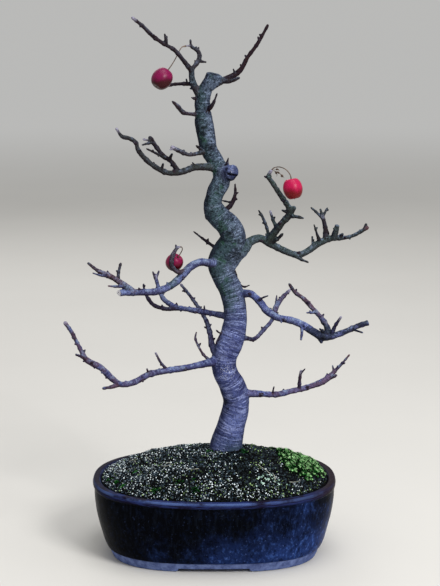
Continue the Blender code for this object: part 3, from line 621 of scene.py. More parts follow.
def evaluated(piece: bpy.types.Object) -> Mesh:
    """The mesh that an object's modifiers make, with the object taken out of the scene.

    Args:
        piece: An object with live modifiers.

    Returns:
        Its finished mesh.
    """
    graph = bpy.context.evaluated_depsgraph_get()
    mesh = bpy.data.meshes.new_from_object(piece.evaluated_get(graph))
    bpy.data.objects.remove(piece, do_unlink=True)
    return mesh


def linked(name: str, data: bpy.types.ID) -> bpy.types.Object:
    """Puts a mesh, a lamp or a camera in the scene.

    Args:
        name: The object's name.
        data: What it holds.

    Returns:
        The object.
    """
    piece = bpy.data.objects.new(name, data)
    bpy.context.scene.collection.objects.link(piece)
    return piece


def present(name: str, mesh: Mesh, material: Material, nodes: Sequence[str] = (),
            sharp: float = 180.0) -> None:
    """Dresses a finished mesh and hands it to the frame.

    Args:
        name: The piece's name.
        mesh: Its mesh, in place.
        material: Its finish.
        nodes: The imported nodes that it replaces.
        sharp: Angle in degrees past which an edge stays sharp.
    """
    mesh.materials.clear()
    mesh.materials.append(material)
    mesh.shade_smooth()
    if sharp < 180:
        mesh.set_sharp_from_angle(angle=math.radians(sharp))
    piece = linked(name, mesh)
    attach(piece, BODY)
    if nodes:
        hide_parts(*nodes)
    log.info("%s: %d faces", name, len(mesh.polygons))


def set_levels(mesh: Mesh, name: str, levels: np.ndarray) -> None:
    """Writes one number for each point of a mesh, or a vector where the array has three columns.

    Args:
        mesh: The mesh.
        name: The attribute's name.
        levels: The numbers.
    """
    kind, field = ("FLOAT", "value") if levels.ndim == 1 else ("FLOAT_VECTOR", "vector")
    attribute = mesh.attributes.new(name, kind, "POINT")
    attribute.data.foreach_set(field, levels.astype(np.float32).ravel())


class Route:
    """A smooth way through stations, with a frame of directions at each of its points, in mm."""

    def __init__(self, stations: Sequence[Station], step: float, growth: float = 0.0) -> None:
        """Draws the way.

        Args:
            stations: Across, depth, height and thickness at each station.
            step: Distance between points.
            growth: How much longer the step is for each mm of thickness.
        """
        self.points = self.smooth([Vector(station) for station in stations], step, growth)
        self.headings: list[Vector] = []
        self.sides: list[Vector] = []
        self.others: list[Vector] = []
        self.runs = [0]
        last = len(self.points) - 1
        side = (self.points[1].xyz - self.points[0].xyz).orthogonal()
        for i, point in enumerate(self.points):
            heading = (self.points[min(i + 1, last)].xyz - self.points[max(i - 1, 0)].xyz).normalized()
            side = (side - heading * side.dot(heading)).normalized()
            self.headings.append(heading)
            self.sides.append(side.copy())
            self.others.append(heading.cross(side))
            if i:
                self.runs.append(self.runs[-1] + (point.xyz - self.points[i - 1].xyz).length)

    @staticmethod
    def smooth(marks: Sequence[Vector], step: float, growth: float) -> list[Vector]:
        """Points of a smooth curve through the stations, with the thickness carried along as w.

        Args:
            marks: The stations.
            step: Distance between points.
            growth: How much longer the step is for each mm of thickness.

        Returns:
            The points.
        """
        along = [0]
        for here, there in zip(marks, marks[1:]):
            along.append(along[-1] + (there.xyz - here.xyz).length)
        last = len(marks) - 1
        slopes = []
        for i in range(last + 1):
            before, after = max(i - 1, 0), min(i + 1, last)
            slopes.append((marks[after] - marks[before]) / (along[after] - along[before]))
        route = [marks[0]]
        for i in range(last):
            span = along[i + 1] - along[i]
            parts = max(1, round(span / (step + growth * marks[i].w)))
            for part in range(1, parts + 1):
                t = part / parts
                route.append(
                    marks[i] * (2 * t**3 - 3 * t**2 + 1)
                    + slopes[i] * span * (t**3 - 2 * t**2 + t)
                    + marks[i + 1] * (3 * t**2 - 2 * t**3)
                    + slopes[i + 1] * span * (t**3 - t**2)
                )
        return route

    def spoke(self, index: int, turn: float) -> Vector:
        """Direction away from the route at one of its points, at a turn about it."""
        return self.sides[index] * math.cos(turn) + self.others[index] * math.sin(turn)

    def ring(self, index: int, sides: int, thickness: float, ahead: float = 0.0) -> list[Vector]:
        """A ring in metres about a point of the route, a thickness across and so far past it.

        Args:
            index: Which point.
            sides: How many corners it has.
            thickness: How far it is across, in mm.
            ahead: How far it lies past the point, in mm.

        Returns:
            Its corners.
        """
        middle = self.points[index].xyz + self.headings[index] * ahead
        turns = (math.tau * i / sides for i in range(sides))
        return [(middle + self.spoke(index, turn) * thickness / 2) * MM for turn in turns]

    def tube(self, sides: int, flats: Sequence[Vector] = (), pressed: float = 0.0) -> Shape:
        """Lofts the route at its own thickness.

        Args:
            sides: How many sides it has.
            flats: Directions in which it is pressed flat, one a point, or none.
            pressed: Share of its thickness that this takes.

        Returns:
            Its closed shape.
        """
        rings = [self.ring(i, sides, point.w) for i, point in enumerate(self.points)]
        for ring, point, flat in zip(rings, self.points, flats):
            ring[:] = [corner - flat * (corner - point.xyz * MM).dot(flat) * pressed for corner in ring]
        return loft(rings)


@dataclass(frozen=True)
class Oval:
    """Plan of the pot: an oval that is a little fuller at the foot than at the rim, in mm."""

    length: float = 248.0
    width: float = 185.0
    height: float = 77.0
    rim_fullness: float = 2.35
    foot_fullness: float = 2.75

    def point(self, angle: float, inset: float, height: float) -> Vector:
        """A point at an angle, a distance in from the rim and a height, in mm.

        Args:
            angle: Where round the oval, in radians.
            inset: Distance in from the rim.
            height: Height over the pot's foot.

        Returns:
            The point.
        """
        share = min(max(height / self.height, 0), 1)
        power = 2 / (self.foot_fullness + (self.rim_fullness - self.foot_fullness) * share)
        across = math.copysign(abs(math.cos(angle)) ** power, math.cos(angle))
        deep = math.copysign(abs(math.sin(angle)) ** power, math.sin(angle))
        return Vector(((self.length / 2 - inset) * across, (self.width / 2 - inset) * deep, height))

    def angles(self, count: int) -> list[float]:
        """Angles that give points at even distances round the rim.

        Args:
            count: How many points go round.

        Returns:
            The angles, which start at the pot's right end.
        """
        fine = [math.tau * i / (count * 12) for i in range(count * 12 + 1)]
        points = [self.point(angle, 0, self.height) for angle in fine]
        runs = np.cumsum([0] + [(b - a).length for a, b in zip(points, points[1:])])
        return list(np.interp(np.arange(count) * runs[-1] / count, runs, fine))

    def share(self, x: float, y: float, inset: float) -> float:
        """How far out a place lies: 0 at the middle, 1 at a distance in from the rim.

        Args:
            x: Across.
            y: Depth.
            inset: How far in from the rim the share is 1.

        Returns:
            The share.
        """
        across = abs(x) / (self.length / 2 - inset)
        deep = abs(y) / (self.width / 2 - inset)
        return (across ** self.rim_fullness + deep ** self.rim_fullness) ** (1 / self.rim_fullness)


@dataclass
class Pot:
    """Low oval stoneware pot with a rolled lip, a bare foot ring cut into four feet, and drain holes.

    A section is a row of steps: the distance in from the rim, the height, and how far its corner is rounded.
    """

    oval: Oval = Oval()
    sides: int = 264
    facet: float = 2.6
    foot: tuple[Point, ...] = ((40, 6.5, 0), (30, 6.5, 0.8), (28, 0, 0.7), (20, 0, 0.6), (19, 0.9, 0.5),
                               (15.6, 9.5, 0.3))
    wall: tuple[Point, ...] = ((15.2, 9.9, 0.2), (14, 10.6, 0.9), (11, 17, 3.5), (7.4, 30, 6), (3.6, 45, 7),
                               (1.5, 62, 5), (1.9, 69.6, 0.8))
    lip: tuple[Point, ...] = ((0.4, 71, 0.9), (0, 74.4, 1.6), (1.3, 77, 1.2), (6.6, 77, 1))
    inner: tuple[Point, ...] = ((8.4, 75, 0.8), (9.2, 58, 4), (12, 36, 6), (18, 20, 4), (26, 14, 3),
                                (44, 14, 0))
    front_arch: float = 40.5
    end_arch: float = 24.0
    arch_height: float = 4.0
    arch_shoulder: float = 5.5
    hole_reach: float = 48.0
    hole_diameter: float = 20.0
    hole_depth: float = 12.0
    corner_steps: int = 4
    arch_steps: int = 12

    def section(self) -> list[Pair]:
        """The whole section from the underside to the inner floor, corners rounded and long runs divided.

        Returns:
            Distance in from the rim and height at each corner.
        """
        steps = self.foot + self.wall + self.lip + self.inner
        rounded = [Vector(steps[0][:2])]
        for before, here, after in zip(steps, steps[1:], steps[2:]):
            corner = Vector(here[:2])
            reach = here[2]
            back = corner + (Vector(before[:2]) - corner).normalized() * reach
            onward = corner + (Vector(after[:2]) - corner).normalized() * reach
            for part in range(self.corner_steps + 1):
                t = part / self.corner_steps
                rounded.append(back * (1 - t) ** 2 + corner * 2 * t * (1 - t) + onward * t * t)
        rounded.append(Vector(steps[-1][:2]))
        result = [rounded[0]]
        for here, there in zip(rounded, rounded[1:]):
            parts = max(1, math.ceil((there - here).length / self.facet))
            result += [here.lerp(there, part / parts) for part in range(1, parts + 1)]
        return [(point.x, point.y) for point in result]

    def build(self) -> Shape:
        """Lofts the pot, with the slight unevenness of a pressed wall.

        Returns:
            Its closed shape.
        """
        angles = self.oval.angles(self.sides)
        rings = []
        for inset, height in self.section():
            ring = []
            for angle in angles:
                point = self.oval.point(angle, inset, height)
                sway = noise.noise(point / 34) * 0.35 + noise.noise(point / 9) * 0.08
                shift = Vector((point.x, point.y, 0)).normalized() * sway * ease(height, 10.5, 20)
                ring.append((point + shift) * MM)
            rings.append(ring)
        return loft(rings)

    def arch(self, half_width: float, along_x: bool) -> Shape:
        """A cutter for the low space between two feet.

        Args:
            half_width: Half its width at the surface that the pot stands on, in mm.
            along_x: Whether it runs through the pot from end to end.

        Returns:
            The cutter's closed shape.
        """
        side = [(half_width + 1, -1)]
        for step in range(self.arch_steps + 1):
            turn = math.pi / 2 * step / self.arch_steps
            side.append((half_width - self.arch_shoulder * math.sin(turn),
                         self.arch_height * (1 - math.cos(turn))))
        outline = side + [(-x, z) for x, z in reversed(side)]
        rings = []
        for end in (-self.oval.length, self.oval.length):
            rings.append([Vector((end, x, z) if along_x else (x, end, z)) * MM for x, z in outline])
        return loft(rings)

    def cutters(self) -> bpy.types.Collection:
        """The arches and the drain holes, as objects in a collection of their own.

        Returns:
            The collection.
        """
        collection = bpy.data.collections.new("pot cutters")
        bpy.context.scene.collection.children.link(collection)
        shapes = [self.arch(self.front_arch, False), self.arch(self.end_arch, True)]
        for side in (-1, 1):
            shapes.append(bmesh.new())
            middle = Matrix.Translation(Vector((side * self.hole_reach, 0, 10)) * MM)
            radius = self.hole_diameter / 2 * MM
            bmesh.ops.create_cone(shapes[-1], cap_ends=True, segments=48, radius1=radius, radius2=radius,
                                  depth=self.hole_depth * MM, matrix=middle)
        for shape in shapes:
            collection.objects.link(bpy.data.objects.new("cutter", joined([shape], "cutter")))
        return collection

    def dress(self) -> None:
        """Cuts the feet and the holes, and hands over the glazed pot."""
        raw = linked("pot raw", joined([self.build()], "pot"))
        tools = self.cutters()
        cut = raw.modifiers.new("feet and holes", "BOOLEAN")
        cut.operation = "DIFFERENCE"
        cut.operand_type = "COLLECTION"
        cut.collection = tools
        cut.solver = "EXACT"
        mesh = evaluated(raw)
        for tool in list(tools.objects):
            bpy.data.objects.remove(tool, do_unlink=True)
        bpy.data.collections.remove(tools)
        present("glazed_pot", mesh, GlazeFinish().make(), ["pot"], 32)


@dataclass
class Mound:
    """Surface of the potting mix: a broad mound that swells a little round the foot of the tree, in mm."""

    oval: Oval = Oval()
    inset: float = 8.8
    edge_height: float = 74.9
    rise: float = 24.1
    steepness: float = 3.0
    tilt: float = 0.0004
    swell_rise: float = 8.0
    swell_reach: float = 24.0
    trunk: Pair = (12, 8)
    trunk_radius: float = 17.0
    crumb: float = 1.0
    slope_reach: float = 1.5
    jitter: float = 0.45

    def height(self, x: float, y: float) -> float:
        """Height of the mound at a place.

        Args:
            x: Across.
            y: Depth.

        Returns:
            The height, in mm.
        """
        share = min(self.oval.share(x, y, self.inset), 1)
        mound = self.rise * (1 - share ** self.steepness) * (1 + self.tilt * x)
        distance = math.hypot(x - self.trunk[0], y - self.trunk[1])
        swell = self.swell_rise * math.exp(-(distance / self.swell_reach) ** 2)
        rough = noise.fractal(Vector((x, y, 3)) / 9, 1, 2, 3) * self.crumb * ease(share, 1, 0.97)
        return self.edge_height + mound + swell + rough

    def spot(self, x: float, y: float, rise: float = 0.0) -> Vector:
        """A point in metres, so many mm over the mound at a place."""
        return Vector((x, y, self.height(x, y) + rise)) * MM

    def normal(self, x: float, y: float) -> Vector:
        """Direction that points straight out of the mound at a place.

        Args:
            x: Across.
            y: Depth.

        Returns:
            The direction.
        """
        reach = self.slope_reach
        slope_x = (self.height(x + reach, y) - self.height(x - reach, y)) / (2 * reach)
        slope_y = (self.height(x, y + reach) - self.height(x, y - reach)) / (2 * reach)
        return Vector((-slope_x, -slope_y, 1)).normalized()

    def bare(self, x: float, y: float, margin: float) -> bool:
        """Whether a place lies on the soil, clear of the pot and of the trunk by a margin."""
        away = math.hypot(x - self.trunk[0], y - self.trunk[1]) > self.trunk_radius - 1
        return away and self.oval.share(x, y, self.inset + margin) < 1

    def places(self, spacing: float, draw: Draw, margin: float) -> list[Pair]:
        """Jittered places all over the mound.

        Args:
            spacing: Distance between neighbours.
            draw: Source of the jitter.
            margin: Least distance to the pot.

        Returns:
            The places that are on the soil.
        """
        result = []
        rows = int(self.oval.width / spacing) + 2
        columns = int(self.oval.length / spacing) + 2
        for row in range(-rows // 2, rows // 2 + 1):
            for column in range(-columns // 2, columns // 2 + 1):
                x = (column + 0.5 * (row % 2) + draw.uniform(-self.jitter, self.jitter)) * spacing
                y = (row + draw.uniform(-self.jitter, self.jitter)) * spacing
                if self.bare(x, y, margin):
                    result.append((x, y))
        return result


@dataclass
class SoilBed:
    """The body of the potting mix, from the pot's floor to the mound."""

    mound: Mound
    sides: int = 180
    rows: int = 56
    wall: tuple[Pair, ...] = ((22.5, 15.6), (18.5, 20), (12.5, 36), (9.7, 58), (9.2, 72))

    def build(self) -> Shape:
        """Lofts the bed up the pot's wall and then inward over the mound.

        Returns:
            Its closed shape.
        """
        oval = self.mound.oval
        angles = oval.angles(self.sides)
        rings = [[oval.point(angle, inset, height) * MM for angle in angles] for inset, height in self.wall]
        edge = [oval.point(angle, self.mound.inset, oval.height) for angle in angles]
        for row in range(self.rows):
            share = 1 - row / self.rows
            rings.append([self.mound.spot(point.x * share, point.y * share) for point in edge])
        return loft(rings)

    def dress(self) -> None:
        """Hands over the bed in place of the plain soil."""
        mesh = joined([self.build()], "soil_bed")
        present("soil_bed", mesh, GroundFinish().make(), ["soil"], 50)


class Scatter:
    """Many copies of a few small shapes, joined in one mesh, each with a shade of its own."""

    def __init__(self, templates: Sequence[Shape]) -> None:
        """Reads the shapes to be copied, and frees them.

        Args:
            templates: Small closed shapes about the origin, one unit across.
        """
        self.points: list[np.ndarray] = []
        self.faces: list[np.ndarray] = []
        for template in templates:
            bmesh.ops.triangulate(template, faces=template.faces)
            template.verts.index_update()
            self.points.append(np.array([vert.co for vert in template.verts]))
            self.faces.append(np.array([[vert.index for vert in face.verts] for face in template.faces]))
            template.free()
        self.made_points: list[np.ndarray] = []
        self.made_faces: list[np.ndarray] = []
        self.made_shades: list[np.ndarray] = []
        self.count = 0

    def add(self, kind: int, middle: Vector, turn: Matrix, size: float, shade: float,
            rise: float = 0.0) -> None:
        """Places one copy.

        Args:
            kind: Which template.
            middle: Where, in metres.
            turn: How it is turned.
            size: How many mm it is across.
            shade: Its shade at the foot.
            rise: How much its shade gains from the foot to the top.
        """
        points = self.points[kind]
        place = Matrix.Translation(middle) @ turn @ Matrix.Scale(size * MM, 4)
        self.made_points.append(points @ np.array(place.to_3x3()).T + np.array(place.translation))
        self.made_faces.append(self.faces[kind] + self.count)
        self.made_shades.append(shade + rise * points[:, 2])
        self.count += len(points)

    def mesh(self, name: str) -> Mesh:
        """All the copies in one mesh.

        Args:
            name: The mesh's name.

        Returns:
            The mesh.
        """
        mesh = bpy.data.meshes.new(name)
        mesh.from_pydata(np.concatenate(self.made_points), [], np.concatenate(self.made_faces))
        set_levels(mesh, "shade", np.concatenate(self.made_shades))
        return mesh


def turned_to(normal: Vector, draw: Draw, lean: float) -> Matrix:
    """A turn that stands a shape on a slope.

    Args:
        normal: The slope's outward direction.
        draw: Source of its spin and lean.
        lean: Most that it leans, in radians.

    Returns:
        The turn.
    """
    spin = Matrix.Rotation(draw.uniform(0, math.tau), 4, "Z")
    nod = Matrix.Rotation(draw.uniform(-lean, lean), 4, "X")
    sway = Matrix.Rotation(draw.uniform(-lean, lean), 4, "Y")
    return normal.to_track_quat("Z", "Y").to_matrix().to_4x4() @ nod @ sway @ spin


@dataclass
class Grit:
    """Loose grains on the mound: dark lava and clay, pale pumice, and grains with a green film."""

    mound: Mound
    kinds: int = 14
    roughness: float = 0.24
    lean: float = 0.8
    margin: float = 1.2

    def templates(self, draw: Draw) -> list[Shape]:
        """Angular chunks, each a 20-sided ball with its corners pushed about.

        Args:
            draw: Source of their shapes.

        Returns:
            The chunks.
        """
        shapes = []
        for _ in range(self.kinds):
            chunk = bmesh.new()
            bmesh.ops.create_icosphere(chunk, subdivisions=1, radius=0.5)
            squash = Vector((1, draw.uniform(0.65, 1), draw.uniform(0.5, 0.85)))
            bmesh.ops.scale(chunk, vec=squash, verts=chunk.verts)
            for vert in chunk.verts:
                vert.co *= 1 + draw.uniform(-self.roughness, self.roughness)
            shapes.append(chunk)
        return shapes

    def strewn(self, finish: GritFinish, spacing: float, size: Pair, sink: float,
               fade: float, chance: Callable[[float, float], float], seed: int) -> None:
        """Strews one kind of grain over the mound.

        Args:
            finish: Its finish, which names the piece too.
            spacing: Distance between places for grains, in mm.
            size: Smallest and largest grain, in mm.
            sink: Height of a grain's middle over the soil, as a share of its size.
            fade: How rare light grains are.
            chance: Share of the places near a point that hold a grain.
            seed: Seed of the draws.
        """
        draw = random.Random(seed)
        scatter = Scatter(self.templates(draw))
        for x, y in self.mound.places(spacing, draw, self.margin):
            grain = draw.uniform(size[0] ** 0.5, size[1] ** 0.5) ** 2
            shade = draw.random() ** fade
            kind = draw.randrange(self.kinds)
            turn = turned_to(self.mound.normal(x, y), draw, self.lean)
            if draw.random() > chance(x, y):
                continue
            scatter.add(kind, self.mound.spot(x, y, grain * sink), turn, grain, shade)
        present(finish.name, scatter.mesh(finish.name), finish.make(), ["soil"], 25)

    def dress(self) -> None:
        """Strews the dark, the pale and the green grains."""
        def patchy(x: float, y: float) -> float:
            """Pale grains lie in drifts, thicker towards the front and the edge, and fewer right of the trunk
            away from the front.

            Args:
                x: Across.
                y: Depth.

            Returns:
                Share of the places there that hold a grain.
            """
            drift = noise.noise(Vector((x, y, 40)) / 22)
            edge = self.mound.oval.share(x, y, self.mound.inset)
            dark_side = 0.4 * ease(x, 2, 38) * ease(-y, 84, 50) - 0.05 * ease(-x, 10, 60)
            return 0.42 + 0.6 * drift + 0.2 * ease(edge, 0.55, 0.95) - dark_side

        def damp(x: float, y: float) -> float:
            """Green grains gather near the front rim and in a few spots."""
            drift = noise.noise(Vector((x, y, 90)) / 16)
            return 0.1 + 0.45 * max(drift, 0) + 0.35 * ease(-y, 40, 72) + 0.15 * ease(x, 10, 70)

        dark = GritFinish("grit_dark", 0.8, tone(3, 4, 6), tone(46, 58, 66))
        pale = GritFinish("grit_pale", 0.85, tone(58, 77, 94), tone(234, 246, 250))
        green = GritFinish("grit_green", 0.9, tone(36, 54, 34), tone(150, 182, 122))
        self.strewn(dark, 2.35, (1.5, 3.6), 0.1, 1.7, lambda x, y: 1, SEED + 1)
        self.strewn(pale, 1.85, (0.7, 2.1), 0.46, 1.3, patchy, SEED + 2)
        self.strewn(green, 2.7, (0.7, 2.1), 0.44, 1.3, damp, SEED + 3)


@dataclass
class Moss:
    """A bright cushion of moss at the right, and small tufts along the front and the left."""

    mound: Mound
    middle: Pair = (92, -2)
    reach: Pair = (30, 44)
    blobs: tuple[Point, ...] = (
        (84, 24, 15), (98, 19, 17), (88, 3, 19), (83, -21, 14), (97, -10, 14), (102, 8, 15), (72, 18, 9),
        (70, 4, 6), (75, -12, 8), (92, -32, 7),
    )
    thickness: float = 4.5
    kinds: int = 8
    leaves: int = 6
    rows: int = 22
    sides: int = 72
    overlap: float = 1.05
    rim: float = 0.985
    shown: float = 0.02
    tufts: tuple[Point, ...] = (
        (-105.5, -24, 4), (-90, -47, 4.5), (-57, -66, 4.5), (-34, -60, 4), (-17, -71, 4.5), (-19, -58, 3),
        (64, 34, 5), (60, 44, 4), (30, -5, 4.5), (-6, -6, 4), (-78, -30, 3), (-98, -36, 3),
    )

    def cover(self, x: float, y: float) -> float:
        """How thick the cushion is at a place, as a share of its most, and negative outside it.

        Args:
            x: Across.
            y: Depth.

        Returns:
            The share.
        """
        inside = max(1 - ((x - a) ** 2 + (y - b) ** 2) / (reach * reach) for a, b, reach in self.blobs)
        ragged = 0.5 * noise.noise(Vector((x, y, 7)) / 9) + 0.3 * noise.noise(Vector((x, y, 17)) / 3.5)
        return inside + ragged

    def top(self, x: float, y: float) -> float:
        """Height of the cushion's own surface at a place.

        Args:
            x: Across.
            y: Depth.

        Returns:
            The height, in mm.
        """
        crown = self.thickness * min(max(self.cover(x, y), 0), 1) ** 0.5
        edge = ease(self.mound.oval.share(x, y, self.mound.inset), 1, 0.93)
        lumps = 0.9 * noise.noise(Vector((x, y, 60)) / 5)
        return self.mound.height(x, y) + (crown + lumps) * edge - 0.6

    def shoots(self, draw: Draw) -> list[Shape]:
        """Star-shaped moss shoots: slim pointed leaves that fan out from one foot.

        Args:
            draw: Source of their shapes.

        Returns:
            The shoots.
        """
        shapes = []
        for _ in range(self.kinds):
            shoot = bmesh.new()
            for leaf in range(self.leaves):
                lean = 0.12 if leaf == 0 else draw.uniform(0.45, 0.95)
                spin = Matrix.Rotation(math.tau * leaf / (self.leaves - 1), 4, "Z")
                place = spin @ Matrix.Rotation(lean, 4, "X") @ Matrix.Translation((0, 0, 0.45))
                bmesh.ops.create_cone(shoot, cap_ends=True, segments=3, radius1=0.17, radius2=0,
                                      depth=draw.uniform(0.8, 1.1), matrix=place)
            shapes.append(shoot)
        return shapes

    def planted(self, name: str, spots: Iterable[tuple[float, float, float, float]], draw: Draw,
                material: Material) -> None:
        """Plants shoots.

        Args:
            name: The piece's name.
            spots: Across, depth and height in mm, and the shade at the foot.
            draw: Source of sizes and turns.
            material: Their finish.
        """
        scatter = Scatter(self.shoots(draw))
        for x, y, height, shade in spots:
            turn = turned_to(self.mound.normal(x, y), draw, 0.35)
            size = draw.uniform(1.5, 3.1)
            # A shoot's shade rises from its foot to its tip: the tips pale with new growth and painted
            # highlight, the foot dark with painted shade.
            scatter.add(draw.randrange(self.kinds), Vector((x, y, height)) * MM, turn, size, shade, 0.75)
        present(name, scatter.mesh(name), material, (), 40)

    def cushion(self) -> Shape:
        """The cushion's closed body under its shoots, its edge sunk in the soil.

        Returns:
            Its closed shape.
        """
        rings = []
        for row in range(self.rows):
            share = (1 - row / self.rows) * self.overlap
            ring = []
            for i in range(self.sides):
                turn = math.tau * i / self.sides
                x = self.middle[0] + self.reach[0] * share * math.cos(turn)
                y = self.middle[1] + self.reach[1] * share * math.sin(turn)
                out = max(self.mound.oval.share(x, y, self.mound.inset) / self.rim, 1)
                x, y = x / out, y / out
                height = self.top(x, y) if self.cover(x, y) > self.shown else self.mound.height(x, y) - 1.6
                ring.append(Vector((x, y, height)) * MM)
            rings.append(ring)
        base = [Vector((point.x, point.y, point.z - 3 * MM)) for point in rings[0]]
        return loft([base] + rings)

    def dress(self) -> None:
        """Hands over the cushion, its shoots and the tufts."""
        material = MossFinish().make()
        draw = random.Random(SEED + 11)
        body = joined([self.cushion()], "moss_cushion")
        # The cushion under the shoots is painted near black, as shade between them.
        set_levels(body, "shade", np.full(len(body.vertices), 0.05))
        present("moss_cushion", body, material, (), 60)
        spots = []
        for x, y in self.mound.places(1.22, draw, 2):
            if self.cover(x, y) > self.shown + draw.uniform(0, 0.35):
                spots.append((x, y, self.top(x, y) - 0.3 + draw.uniform(-0.5, 0.5), draw.uniform(-1.1, 0.95)))
        self.planted("moss_shoots", spots, draw, material)
        spots = []
        for x0, y0, size in self.tufts:
            for _ in range(int(size * size * 1.5)):
                away, turn = size * draw.random() ** 0.6, draw.uniform(0, math.tau)
                x, y = x0 + away * math.cos(turn), y0 + 0.8 * away * math.sin(turn)
                if self.mound.bare(x, y, 1.5):
                    crown = 1 - away / size
                    spots.append((x, y, self.mound.height(x, y) + crown - 0.4, draw.uniform(-0.65, 0.3)))
        self.planted("moss_tufts", spots, draw, material)


class End(Enum):
    """How a limb or twig ends."""

    ROUND = "rounded over by the bark"
    PALE = "rounded, with a pale tip"
    RED = "rounded, with a reddish tip"
    CUT = "cut flat and weathered"
    SAWN = "cut flat, with pale wood showing"


TRUNK: tuple[Station, ...] = (
    (12, 8, 104, 33), (17, 7, 126, 29.5), (22.5, 3, 153, 27), (18, -1, 171, 26), (11, -5, 188, 24.5),
    (10, -7, 202, 25.5), (16, -6, 217, 27), (21, -2, 233, 24), (21, 2, 250, 23), (17, 5, 267, 24),
    (10, 7, 282, 23), (6, 8, 296, 24), (13, 7, 309, 26), (19.5, 5, 320, 24.5), (15.5, 3, 332, 24.5),
    (4, 1, 344, 21.5), (-1, -1, 355, 18.5), (1, -2, 366, 17.5), (6, -2, 376, 17.5), (7.5, 0, 386, 17),
    (1, 2, 398, 15.5), (-5, 4, 409, 16.5), (-7, 6, 420, 17), (-9.5, 8, 434, 18), (-11, 9, 446, 16),
    (-11, 9, 457, 15), (-8, 8, 468, 13.5), (-3.5, 7, 476, 13.4), (-1.2, 6.5, 481.5, 12.4),
)


def woods(rows: str) -> dict[str, tuple[Station, ...]]:
    """Reads a table of lengths of wood.

    Args:
        rows: For each length its name, a colon, and its stations: across, depth, height and thickness.

    Returns:
        The stations by name, in the order of the table.
    """
    lengths = {}
    for row in rows.split(";"):
        name, stations = row.split(":")
        lengths[name.strip()] = tuple(tuple(map(float, place.split())) for place in stations.split(","))
    return lengths


